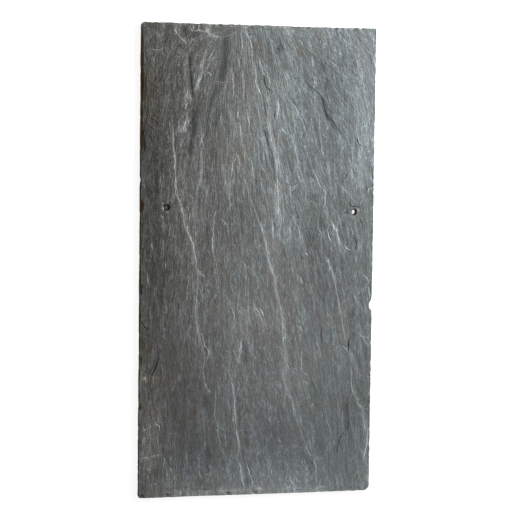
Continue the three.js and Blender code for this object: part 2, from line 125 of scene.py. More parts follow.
# A seam is where a cleaved sheet broke off: a pale line, partly bruised stone and partly a painted
# highlight of the step that faces the light. Each row holds the line's strength, its width and its walk.
SEAMS = (
    (0.4, 0.8, (34.5, -122.3), (42.6, -136.4), (52, -143.3)),
    (0.4, 0.8, (34.8, -148.2), (38.1, -159.3), (39.1, -169), (45.5, -174.9), (48.4, -174.9)),
    (0.3, 0.8, (59.5, -116.3), (59.9, -140.9), (67.9, -146.9)),
    (0.28, 1.2, (78.4, 182.5), (79.3, 164.1), (82.7, 144.1), (84.9, 132.7)),
    (0.22, 1.5, (54, 183.5), (61.6, 166.6), (69.2, 155.3)),
    # the long seam left of the middle and its branches
    (0.68, 0.9, (-110.5, 172), (-110.3, 152), (-109.6, 141), (-107.6, 134), (-108.2, 121), (-107, 109),
     (-105.8, 99), (-106, 88), (-103.5, 81), (-100.5, 74)),
    (0.74, 1.0, (-100.5, 74), (-98.8, 66), (-96.2, 60), (-95.3, 52), (-93.8, 43), (-91, 37.5), (-87.5, 30),
     (-84, 24), (-82.3, 17), (-81, 9), (-79.8, 1), (-79.2, -6), (-78.6, -12)),
    (0.36, 0.8, (-80, -5), (-77.5, -17), (-77, -27), (-77.6, -41.4), (-79.5, -57.4), (-79.6, -75.4)),
    (0.34, 0.8, (-79.6, -75.4), (-76.6, -84), (-75, -91), (-73.2, -98), (-71, -105),
     (-69, -111), (-68, -118), (-67.4, -126), (-68.6, -134), (-69.1, -142), (-68.4, -149), (-66, -156),
     (-63.5, -161), (-61, -165), (-57.5, -166.5)),
    (0.7, 0.8, (-78.5, -9), (-75, -12.8), (-71.5, -15.5), (-68.8, -18.3)),
    (0.55, 0.8, (-77, -29), (-73, -38), (-71.8, -46.2), (-75, -52), (-78.6, -57.4)),
    (0.7, 0.8, (-71.5, -90), (-69.5, -96), (-68, -102), (-66, -108), (-62.7, -113.5), (-62.5, -119),
     (-65.5, -125)),
    (0.6, 0.8, (-88.5, 62), (-88, 55), (-88.4, 50.5)),
    (0.5, 0.8, (-91.5, 47), (-91, 40)),
    # short seams further in
    (0.6, 0.9, (-67.2, 170.4), (-70, 164), (-74.2, 155.5), (-72, 147.9), (-71, 142.3)),
    (0.6, 0.8, (-54.5, 66), (-57, 58), (-57, 49), (-58, 41), (-58.8, 33), (-59.3, 24), (-58.5, 17),
     (-57.4, 11.5)),
    (0.2, 0.8, (-56, 8), (-53.5, 0), (-52.5, -10), (-51.5, -22), (-50.3, -32), (-49.5, -44)),
    # under the head, left of the middle
    (0.28, 0.8, (-58, 283.5), (-61, 280.5), (-65.3, 273.6), (-69.7, 266), (-72.8, 257)),
    (0.42, 0.9, (-72.8, 257), (-73.6, 248.5), (-74.2, 241)),
    (0.5, 0.9, (-55, 283.5), (-58, 278)),
    (0.36, 1.5, (-75, 236), (-77.6, 228.5), (-80.7, 219.8), (-83.8, 211)),
    (0.8, 0.8, (-73.4, 238.5), (-70, 235.5)),
    (1.7, 0.9, (-66, 238), (-62.5, 234)),
    (0.62, 0.9, (-92.4, 218), (-92.6, 212), (-93.2, 204)),
    (0.6, 0.9, (-96.6, 208), (-96, 202)),
    (0.26, 0.8, (-89.6, 211), (-88.3, 206), (-88.8, 202)),
    (0.4, 0.8, (-94.6, 212), (-95.2, 206)),
    (0.7, 0.9, (-92, 200), (-96.5, 192.5)),
    (0.6, 1.0, (-93.1, 187), (-93.2, 180), (-96, 171), (-97.9, 164)),
    (0.7, 0.9, (-90.4, 181), (-91, 173)),
    (0.22, 0.8, (-98.5, 175), (-99.6, 167)),
    (0.4, 0.8, (-94, 171), (-94.6, 163)),
    (0.55, 1.0, (-102.5, 179), (-103, 172), (-104.5, 163)),
    (0.75, 1.2, (-110.5, 291), (-107, 286.5), (-103, 282), (-99, 278), (-95.6, 275)),
    (0.6, 1.0, (-91.5, 270), (-89, 274), (-86, 279), (-81, 280.5), (-76, 283), (-71.5, 286)),
    (0.45, 1.4, (-69, 296), (-68.5, 291), (-66, 286), (-61, 284.5), (-56, 283.5), (-50, 283)),
    (0.5, 1.1, (-50, 283), (-44, 284), (-38.5, 285), (-34, 290)),
    (0.75, 1.0, (-72, 289.5), (-80, 290.5), (-87, 289.5), (-90, 296)),
    (0.8, 1.0, (-86, 296), (-85, 291)),
    (1.0, 1.0, (-79, 297), (-78.5, 291)),
    (0.75, 0.9, (-36, 244), (-35, 236), (-34.4, 228), (-33.6, 220), (-34, 212), (-36, 206)),
    (0.55, 0.7, (-57, 226.6), (-52, 226.3), (-44.5, 226.6)),
    (0.35, 0.7, (-42, 226.8), (-35, 226.8)),
    (0.4, 0.8, (-61.5, 226), (-65, 218), (-68.5, 209)),
    # along the left edge
    (0.33, 0.8, (-121.5, 58), (-121.5, 45), (-121, 38), (-120.6, 34)),
    (0.4, 0.8, (-122, 30), (-121.5, 20), (-121.4, 11)),
    (0.4, 0.8, (-138, 47), (-136.5, 35), (-136.5, 27), (-135.2, 15)),
    (1.0, 1.15, (-123.5, 74.6), (-123.3, 72)),
    (1.1, 2.6, (-122.6, 69.8), (-122.2, 67.4), (-121.9, 65.3)),
    (0.45, 0.9, (-121, 65), (-118.3, 63.8), (-115.2, 62.3)),
    (0.55, 1.0, (-124, 59), (-122.5, 55.5)),
    (0.6, 0.8, (-114, 48), (-113.8, 32)),
    (0.6, 0.9, (-141.5, -13), (-141.3, -21), (-138.7, -31)),
    (0.5, 0.8, (-118.6, 2), (-118.8, -9)),
    (0.42, 0.8, (-143.5, 267), (-139, 265.5), (-134, 264.6), (-127.8, 265.7), (-119, 268.4)),
    (0.25, 0.8, (-140, 264), (-137, 258)),
    (0.4, 0.8, (-135, 289), (-131, 285), (-128, 279), (-126.5, 272)),
    (0.22, 0.8, (-128, 292), (-124.5, 286), (-123, 279)),
    # the cleaved patch above the tail's left corner
    (0.7, 0.9, (-126.5, -193), (-126, -203)),
    (1.05, 0.9, (-128, -204.5), (-125, -208), (-124.8, -214)),
    (0.3, 0.9, (-127.3, -219), (-127, -228), (-126, -234), (-124.5, -241), (-123.5, -245)),
    (0.5, 0.9, (-137, -200), (-137.2, -214), (-136, -222), (-137, -229), (-138, -242)),
    (0.85, 1.0, (-144.5, -213), (-140.5, -210.5)),
    (0.45, 1.0, (-145, -220), (-144, -230), (-143.5, -240)),
    (0.35, 2.2, (-149.5, -249), (-145, -248), (-139, -247), (-133, -246), (-126, -244.8), (-121, -245)),
    (0.6, 0.9, (-119, -247), (-117.5, -254), (-119, -259), (-117, -261)),
    (0.6, 0.9, (-139, -262), (-136, -263.5)),
    (1.3, 0.9, (-110.5, -261), (-109, -266)),
    (0.24, 0.9, (-90, -172), (-86, -180)),
    (0.4, 0.9, (-66.5, -226), (-65.8, -234), (-65, -241.5)),
    (1.2, 0.9, (-73, -266), (-72.5, -272), (-70, -276)),
    (0.2, 0.8, (-57.5, -250), (-57.4, -266)),
    # the lower middle
    (0.27, 0.9, (-53, -163), (-52.7, -172), (-53.3, -180), (-54.3, -192), (-52.8, -201), (-50.3, -209),
     (-49.6, -218), (-48.3, -225), (-46, -232)),
    (0.4, 0.9, (-49.8, -250), (-46.5, -257)),
    (1.1, 1.1, (-40.3, -220), (-39.5, -225)),
    (0.42, 0.9, (-38.5, -228), (-39, -236)),
    (0.14, 0.9, (-48, -238), (-43.5, -244), (-39, -249)),
    (0.55, 0.9, (-38.5, -46), (-36, -51), (-34, -58), (-31, -64.5), (-29, -71), (-27, -78), (-25, -81)),
    (0.55, 1.3, (-20.8, -98), (-20.8, -105), (-20, -108.5), (-21.5, -117), (-22.6, -122), (-23.6, -130)),
    (0.4, 0.9, (-40.5, -133), (-38, -138), (-35, -140), (-32, -140)),
    (0.5, 1.0, (-25.5, -152), (-21.7, -156), (-23, -162), (-25.5, -169)),
    (0.4, 1.0, (-33, -150.6), (-31, -160), (-29.2, -173.6)),
    (0.45, 1.1, (-29.2, -173.6), (-28, -184), (-26.6, -196.5), (-26, -210)),
    (0.3, 0.9, (-30.5, -156), (-29.5, -168), (-27, -180)),
    (0.5, 1.1, (-25.2, -210), (-25, -217), (-22.9, -226.4), (-21.4, -234), (-21.6, -242.5)),
    (0.4, 1.2, (-23, -240), (-22.6, -254.1), (-20, -262), (-20, -268)),
    (0.5, 0.9, (-19.6, -266), (-18.8, -275), (-17, -281), (-15.1, -288.9)),
    (0.3, 0.8, (-19, -246), (-17.5, -256), (-18.5, -263)),
    (0.3, 0.8, (-29.6, -196), (-29, -208), (-26.5, -216)),
    (0.4, 1.0, (-25, -217), (-22, -223), (-19.7, -228)),
    (0.7, 0.9, (-22, -220), (-17.5, -215)),
    (0.3, 0.9, (-24, -246), (-24, -254), (-23.5, -260)),
    (0.9, 1.0, (-11.5, -258), (-10.5, -264), (-8, -267.5), (-7.5, -272), (-5.5, -278), (-3.5, -284),
     (-2.3, -289)),
    (0.5, 0.9, (-8, 0), (-6, -5), (-4.6, -12), (-4.4, -20)),
    (0.7, 0.9, (-19, 0), (-15.5, -5), (-12, -8)),
    (0.35, 0.9, (-5, -49), (-4.8, -53), (-2.8, -56)),
    (0.55, 1.0, (-2.8, -56), (-0.8, -60), (2, -64), (4, -69), (6, -73), (8.5, -79)),
    (0.8, 1.6, (2, -58), (6, -63), (8, -69)),
    # the pale, finely broken middle above
    (0.22, 0.9, (-38.5, 85), (-36.5, 76), (-36, 68), (-35.2, 62)),
    (0.5, 1.0, (-29.4, 140), (-29.9, 132), (-33.4, 125), (-34.8, 112)),
    (0.8, 1.1, (-27, 137), (-25.5, 128), (-24.6, 120), (-25.8, 113)),
    (0.42, 1.1, (-19.5, 138), (-18.6, 132), (-17, 129.5)),
    (0.6, 1.1, (-12, 133), (-9.5, 127), (-8.5, 122), (-9.3, 110)),
    (0.55, 1.0, (-26, 175), (-25, 168), (-24, 160)),
    (1.2, 1.3, (-15.5, 190), (-14.5, 180), (-13, 175)),
    (1.7, 1.2, (-28, 190), (-28.5, 183)),
    (0.7, 1.1, (-25, 290), (-24, 280), (-23, 271), (-20.5, 265)),
    (0.55, 1.0, (-20.5, 293), (-17, 288), (-14, 282), (-11, 273), (-9.5, 265)),
    (0.6, 0.9, (-24.3, 292.4), (-19, 288), (-14, 284.9), (-6.8, 285.9)),
    (0.5, 1.0, (-30, 262), (-27, 253), (-26, 246)),
    # the broad seams of the middle
    (0.36, 1.3, (17.1, 149.9), (20.6, 136), (23.4, 119.6)),
    (0.5, 1.0, (23.4, 119.6), (24.3, 100.6), (25.2, 85.3)),
    (0.25, 0.9, (25, 165), (25.5, 140), (27.5, 118), (29.7, 96), (30.7, 84)),
    (1, 0.9, (27.9, 171.1), (33.9, 164.1)),
    (0.4, 0.9, (-26.6, 177.3), (-22.8, 162), (-21.9, 151.9)),
    (0.4, 0.9, (-1.5, 136.8), (0.8, 129.5), (3.9, 121.3)),
    (0.24, 0.8, (-50.2, 183.9), (-47.3, 172.9), (-42.9, 165.9)),
    (0.6, 0.8, (24, 98), (25.5, 86), (26.4, 74), (26.5, 60)),
    (0.6, 0.8, (31, 88), (32, 76), (33.5, 64)),
    (0.2, 0.7, (20, 104), (21.5, 92), (21, 78), (22.5, 64)),
    (0.5, 0.8, (-29.2, 136.5), (-33, 124), (-35.9, 111.9), (-37, 95), (-37.7, 80.5), (-35.4, 64.8)),
    (0.32, 0.8, (-20.1, 141), (-14, 132), (-8.4, 123.2), (-8.2, 109.8)),
    (0.45, 0.8, (-1.9, 154.7), (-0.5, 140), (0.8, 125.7), (7.8, 114.4)),
    (0.45, 0.8, (-19.7, 107.5), (-15, 94), (-10.2, 80.6), (-6, 69), (-0.7, 58), (8.8, 35.7)),
    (0.33, 0.8, (-73.3, 132), (-73.6, 119.8), (-75.2, 107.2)),
    (0.22, 0.8, (-75.2, 107.2), (-67.5, 96.2), (-65.4, 82.3)),
    (0.45, 0.8, (62.5, 91.9), (62, 76.7), (71.2, 77.5), (76.1, 70)),
    (0.45, 0.8, (79.4, 64.8), (78.8, 48), (83, 34.4), (84.6, 26.7)),
    (0.45, 0.8, (42, 61.6), (48.3, 51.8), (53, 41.9), (54.8, 31.3), (58, 25.3)),
    (0.4, 0.8, (18.8, 54), (19, 32.9)),
    (0.25, 0.7, (41, 17.8), (41.2, 4.1)),
    (0.4, 0.7, (92.2, 48), (91.6, 35.9), (95.6, 25.2)),
    (0.4, 0.8, (-51.3, 57.9), (-43, 50), (-39.7, 47.1), (-37.2, 33.1)),
    (0.35, 0.8, (-28.4, 64.8), (-25.9, 38.2)),
    (0.4, 1.4, (29.5, 60), (30, 48), (29, 38)),
    (0.58, 1.4, (24.2, 204), (24.4, 196), (23.6, 190), (22, 184), (22.5, 181)),
    (0.32, 0.9, (27.7, 188), (36.6, 176.9), (41, 167.1), (47.2, 145.9), (52, 126)),
    (0.5, 1.4, (-3.7, 260.7), (2.3, 247), (6.7, 234.4)),
    (0.5, 1.0, (0.7, 259.4), (6.6, 247.1), (10, 236), (14.1, 224.8)),
    (0.5, 1.0, (-5.7, 243.9), (-4.7, 225.7), (1.3, 213.2), (1.4, 204.8)),
    (0.45, 0.9, (-14, 281.4), (-9.6, 266.3)),
    (0.5, 0.9, (-8.2, 284.5), (-3.2, 276.1)),
    (0.5, 0.9, (11.9, 282.1), (17, 277), (22.2, 269.9)),
    (0.4, 1.6, (34.3, 242.1), (35.9, 225.2), (43.5, 207)),
    (0.35, 0.9, (21.4, 219.4), (24, 226), (30, 229.2)),
    (0.8, 0.9, (42.1, 201.4), (46.5, 197.2), (49.6, 191.5)),
    (0.5, 1.8, (13.5, 177.7), (14.4, 163.8), (17.1, 149.9)),
    # the long seam right of the middle
    (0.45, 1.2, (-1, 56), (1, 50), (3, 44), (5.5, 39), (7.5, 35)),
    (0.32, 0.9, (8.8, 31), (10.2, 26), (11.3, 18), (12.2, 11), (13.6, 4.5), (15.3, -1), (16.8, -7),
     (19.5, -13),
     (22, -19.8), (23, -28), (24.5, -38), (27, -45), (29.5, -51.8), (31.5, -60), (33.1, -65.6)),
    (0.38, 0.8, (33.1, -66), (33.3, -78), (33.4, -90.7), (35, -102), (36.1, -113.7), (37.5, -123),
     (39.9, -132)),
    (0.35, 0.8, (39.9, -132.1), (44.6, -141.4), (49, -143)),
    (0.3, 0.7, (31.5, -104), (32.5, -118), (34.5, -130)),
    (0.16, 1.0, (33.5, -100), (33.8, -112), (36, -122), (39, -130)),
    (0.2, 0.8, (35.3, -152), (37.3, -156.5), (38.8, -163), (39.8, -168.5), (42.3, -170.5), (44.8, -173.5),
     (47.8, -174.8)),
    (0.4, 0.8, (47.5, -176), (48.9, -187.4), (50.1, -198.5)),
    (0.4, 0.8, (58, -196), (59.5, -206), (61, -214)),
    (0.15, 1.0, (61, -222), (61.5, -230), (62.5, -236), (66.5, -241), (70, -246), (72, -252)),
    (0.34, 0.9, (71, -253), (73.5, -256), (77.5, -257.5), (78.5, -261), (80, -268), (81, -275), (81.3, -285),
     (83, -291)),
    (0.27, 0.9, (72, -229), (73, -236), (74.3, -241)),
    (0.3, 1.2, (45.7, -270), (46.3, -279), (48.5, -285), (52.5, -292)),
    (0.45, 1.0, (40.8, -241), (41, -244)),
    (0.9, 1.2, (31.5, -230), (32.5, -232)),
    (0.7, 1.0, (20, -268), (21, -272.5)),
    (0.35, 0.9, (56.5, -81), (58.5, -90)),
    (0.25, 0.9, (58, -124), (60, -131), (58.5, -139)),
    (0.2, 0.8, (62, -143), (66, -145.5), (69.5, -148)),
    (0.5, 1.0, (61, -152), (66, -156), (68, -158)),
    (0.75, 1.1, (77, -182), (73, -187)),
    (0.2, 0.8, (92, -190), (95, -197)),
    (0.65, 0.9, (55.6, -18.5), (57.1, -23), (60.1, -28)),
    (0.85, 0.9, (60, 10.5), (63, 11), (65.5, 9)),
    # right of the middle
    (0.5, 1.1, (67.3, 262), (68.8, 255), (69.3, 247)),
    (0.13, 1.0, (69, 240), (71, 232), (72.5, 224)),
    (0.28, 0.9, (43, 157), (45, 148), (48, 140), (49.5, 133), (51, 126), (54, 118), (56, 111), (58, 104),
     (59.8, 100.5)),
    (0.35, 0.9, (61, 90), (61.6, 83), (62.6, 77)),
    (0.5, 0.9, (57, 178), (60, 168), (62.5, 161), (66, 154.5)),
    (0.25, 1.0, (78, 185), (78.8, 172), (80, 160), (81, 150), (82.5, 142), (84.5, 133)),
    (0.45, 1.0, (71.1, 119), (73.3, 113), (75.8, 108), (77.8, 103), (80.3, 97.5), (83.8, 93)),
    (0.6, 1.0, (82, 103), (86, 98), (87.5, 90), (88, 83), (86.5, 75), (86, 69), (88.5, 63), (90.5, 57.5),
     (92.5, 54)),
    (0.5, 0.9, (77.5, 50), (78.2, 46), (80.5, 41), (83.5, 36), (84.5, 31)),
    (0.65, 1.2, (95, 53.5), (97, 50), (99, 45), (100, 41)),
    (0.45, 1.2, (101.5, 46), (103.5, 40.5), (105, 35), (106.5, 31), (108, 27)),
    (1.4, 1.0, (115.5, 20), (118.5, 16), (122, 15)),
    (0.95, 0.9, (91, 41), (93, 32), (95.5, 26)),
    (0.6, 0.9, (48.5, 57), (52, 51)),
    (0.6, 0.9, (51.5, 46), (54, 40.5), (56, 36)),
    (0.75, 1.2, (19, 49), (19.6, 42), (18.8, 38)),
    (1.35, 1.3, (46.5, 96.5), (47.2, 94)),
    (0.75, 0.9, (42, 87), (43, 91), (46, 93)),
    (0.5, 1.0, (120, 115), (124, 110), (127, 106), (128, 100), (129.5, 92)),
    (0.3, 0.9, (106.5, 98.5), (109, 95.5), (112, 92.8), (116, 91)),
    (0.45, 0.9, (116, 91), (119, 88), (120, 85), (125, 79), (130, 75)),
    (0.9, 0.9, (129.4, 69.2), (130.9, 67.2), (131.6, 64.9)),
    (1.2, 1.3, (144, 91.5), (146, 94), (150.5, 95)),
    (0.42, 0.8, (104.3, 289.5), (109, 284), (113.7, 280.3), (119.7, 277.3)),
    (0.25, 0.9, (119.7, 277.3), (126.4, 274.3), (133.1, 270), (139.8, 265.1)),
    (0.25, 1.0, (121, 281), (127, 277), (133, 272), (139, 266)),
    (0.5, 1.0, (92, 256), (98, 251), (103, 247)),
    (0.08, 1.2, (129, 268), (128.5, 260)),
    (0.25, 1.0, (148.5, 290), (149, 276)),
    # the long seam on the right
    (0.37, 1.0, (88.6, 9), (90.6, 5.5), (93.1, 2.5), (94.1, -2), (95.6, -8), (97.6, -12), (99.6, -15.5),
     (100.9, -22),
     (102.1, -28), (103.1, -33), (104.6, -38), (105.6, -45), (107.1, -52), (108.6, -60), (110.6, -66)),
    (0.22, 0.9, (110, -66), (111.5, -74), (113.5, -82), (115, -89), (116, -96), (118, -103), (119, -109),
     (120.5, -115), (122.5, -118.8), (124, -119)),
    (1.2, 0.9, (114, -110), (118, -113), (119, -115.5)),
    (0.4, 0.9, (92.5, -65), (96, -71), (99.5, -74.5)),
    (0.35, 1.1, (125.5, -140), (126.5, -150), (125.7, -158), (127, -165), (130, -170), (131, -175)),
    (0.38, 1.0, (132, -170), (134, -177), (136, -185), (139, -189.5), (143, -191.5)),
    (0.2, 1.0, (143, -191.5), (145, -186), (148, -180)),
    (0.5, 1.0, (143.5, -191.5), (150.5, -192.5)),
    (0.45, 1.0, (141.5, -198), (143, -203), (143.5, -209), (146, -215), (148.5, -218)),
    (0.7, 1.7, (149.5, -219), (149.3, -228), (148.5, -236), (147.5, -243), (145, -252), (144, -258)),
    (0.14, 0.9, (127, -212), (128, -217), (132, -224), (135.5, -231), (136, -238)),
    (0.42, 0.9, (133, -236), (134, -244)),
    (0.4, 0.9, (139, -273), (135, -278), (131, -284)),
    (0.5, 0.9, (120, -226), (122.3, -240)),
    # shells broken off the right edge
    (0.5, 1.0, (130.5, -46), (131.5, -43), (135, -39.5), (139, -36.5), (143, -33), (147, -27), (149.5, -21)),
    (0.6, 1.0, (142, -17), (144, -20.5), (146.5, -25)),
    (0.8, 2.2, (146, -33), (148.5, -38), (149, -46)),
    (0.35, 1.1, (134, -79), (138, -86), (137, -91), (135.5, -93.5), (141, -97), (145, -98), (149, -100)),
    (0.2, 1.2, (149.5, -80), (144, -84), (139.5, -90)),
    (0.25, 1.1, (142, -99), (145, -104), (149.5, -109.5)),
)

# A crack is a step that turns away from the light, or a slit: a dark line of painted shadow.
CRACKS = (
    (1.2, 0.9, (124.8, 70.2), (125, 65.3)),
    (0.3, 0.7, (60.5, 227.3), (65, 222), (70, 219.5), (74.7, 215.1), (81.8, 210.8)),
    (0.65, 0.7, (81.8, 210.8), (83.6, 204), (84.3, 197.3), (86, 190)),
    (0.28, 0.7, (86, 190), (86.8, 181.6), (91, 181), (96.3, 179.5)),
    (1.2, 0.7, (96.3, 179.5), (101, 172), (108.3, 163.8), (110.8, 159.4)),
    (2.2, 1.3, (128.5, 158), (131, 152.5), (134, 148.5)),
    (1.5, 0.9, (119.1, 116.3), (114, 109), (107.7, 100.9)),
    (1.3, 1.0, (121, 75), (121.2, 72.3), (124.5, 71.3), (129.9, 70.8), (132.5, 69.6)),
    (0.38, 2.0, (117.5, 65.5), (118, 62)),
    (1.9, 1.7, (142.6, 95.5), (142.8, 91.5)),
    (0.85, 1.1, (129.8, 28), (129.3, 20), (128.6, 15)),
    (0.5, 0.9, (124.5, 32), (128, 27)),
    (0.6, 1.3, (-89.5, 242), (-88.6, 232), (-86.8, 218), (-86.5, 210)),
    (1.6, 1.1, (-118, 283), (-119.5, 277), (-122, 272.5)),
    (2.0, 1.4, (-149, -74), (-146, -80), (-143, -83), (-140.5, -85.5)),
    (2.4, 1.6, (-127, -122), (-129.5, -131), (-132.5, -137), (-135.5, -143.5)),
    (0.15, 1.0, (-126, -110), (-127.5, -122)),
    (0.5, 1.2, (-134, -155), (-136, -164)),
    (1.6, 1.0, (-136, 187), (-132.8, 182.6), (-130, 179)),
    (0.8, 1.1, (-139, 180), (-132.8, 176.3), (-126.6, 171.3), (-123, 169.4)),
    (1.3, 1.3, (-140, 171), (-136.5, 166)),
    (0.6, 1.0, (-130.3, 161), (-135.3, 155), (-138, 150)),
    (0.6, 1.2, (85.5, -86), (85, -98), (85.5, -105)),
    (0.45, 1.9, (120, -181), (121, -190), (122, -200), (123, -210), (121.5, -220)),
    (1.8, 1.1, (116.5, -222.5), (113, -228), (110, -235), (108.5, -241), (108.3, -249)),
    (0.8, 0.8, (6.1, 169.3), (10.7, 152.4), (16.7, 137), (19.1, 120.1), (20.1, 100.2)),
    (0.5, 0.8, (21.3, 180.9), (22, 160), (22.4, 142.4)),
    (2.0, 1.3, (4.6, 235.7), (6.8, 224.6), (12.8, 217.7)),
    (1.0, 1.0, (21.5, 271), (25, 268)),
    (0.9, 1.2, (43, 256), (44, 250)),
    (0.4, 1.5, (79.5, 256), (80, 249)),
    (0.35, 1.4, (63, -119), (65, -127)),
    (1.7, 2.2, (122, -100), (121.5, -115)),
    (0.6, 2.6, (-88, 152), (-90, 141)),
    (1.3, 1.6, (113, 62), (117.5, 65)),
    (0.8, 0.9, (133.9, 57), (135, 51), (137.3, 49.5), (137.7, 43)),
    (1.6, 1.4, (20, 188), (19, 184)),
)

# A rusty stain: a brown line or crust, with its strength, its width and its walk.
STAINS = (
    # the crust of the left edge, partly rust and partly painted shade of the side that faces away from the
    # light
    (1.2, 2.0, (-151, 292), (-150.2, 270), (-150, 240), (-149.6, 215), (-150, 198)),
    (1.2, 1.7, (-150.2, 198), (-150.2, 180), (-150, 158), (-150.4, 138)),
    (0.7, 1.6, (-149.5, 160), (-148, 150), (-149, 138)),
    (1.5, 2.0, (-151, 80), (-149.6, 74), (-149.4, 67), (-151, 61)),
    (1.0, 1.4, (-150.6, -6), (-150.4, -20), (-150.8, -32)),
    (0.9, 1.2, (-151, 140), (-151, 80), (-151, 20), (-151, -40), (-151, -110)),
    (0.8, 0.9, (-151.2, -110), (-151.2, -190), (-151.2, -270)),
    # wavy lines beside it
    (0.8, 0.9, (-146, 235), (-144.4, 230), (-145.2, 222.5), (-143.4, 216), (-143.6, 208), (-142.3, 201),
     (-142.4, 192), (-142.2, 183), (-144.5, 177.5), (-145.3, 174), (-146.6, 167), (-147.4, 161.5),
     (-146.6, 155), (-145.7, 149), (-146, 140), (-148.3, 135)),
    (0.9, 1.2, (-148.6, 78), (-147.2, 71), (-147.6, 63)),
    (0.7, 1.0, (-149, 60), (-148.6, 48), (-149.4, 36)),
    # cracks that have rusted
    (0.8, 0.8, (-117.9, 284.5), (-120.3, 278.2), (-122.8, 272)),
    (0.6, 0.8, (-136, 187), (-132.8, 182.6), (-130, 179)),
    (0.6, 0.9, (-139, 180), (-132.8, 176.3), (-126.6, 171.3), (-123, 169.4)),
    (0.6, 0.8, (-140, 171), (-136.5, 166)),
    (0.5, 0.8, (-130.3, 161), (-135.3, 155), (-138, 150)),
    (0.5, 0.9, (7.5, 223), (12.8, 217.7)),
)
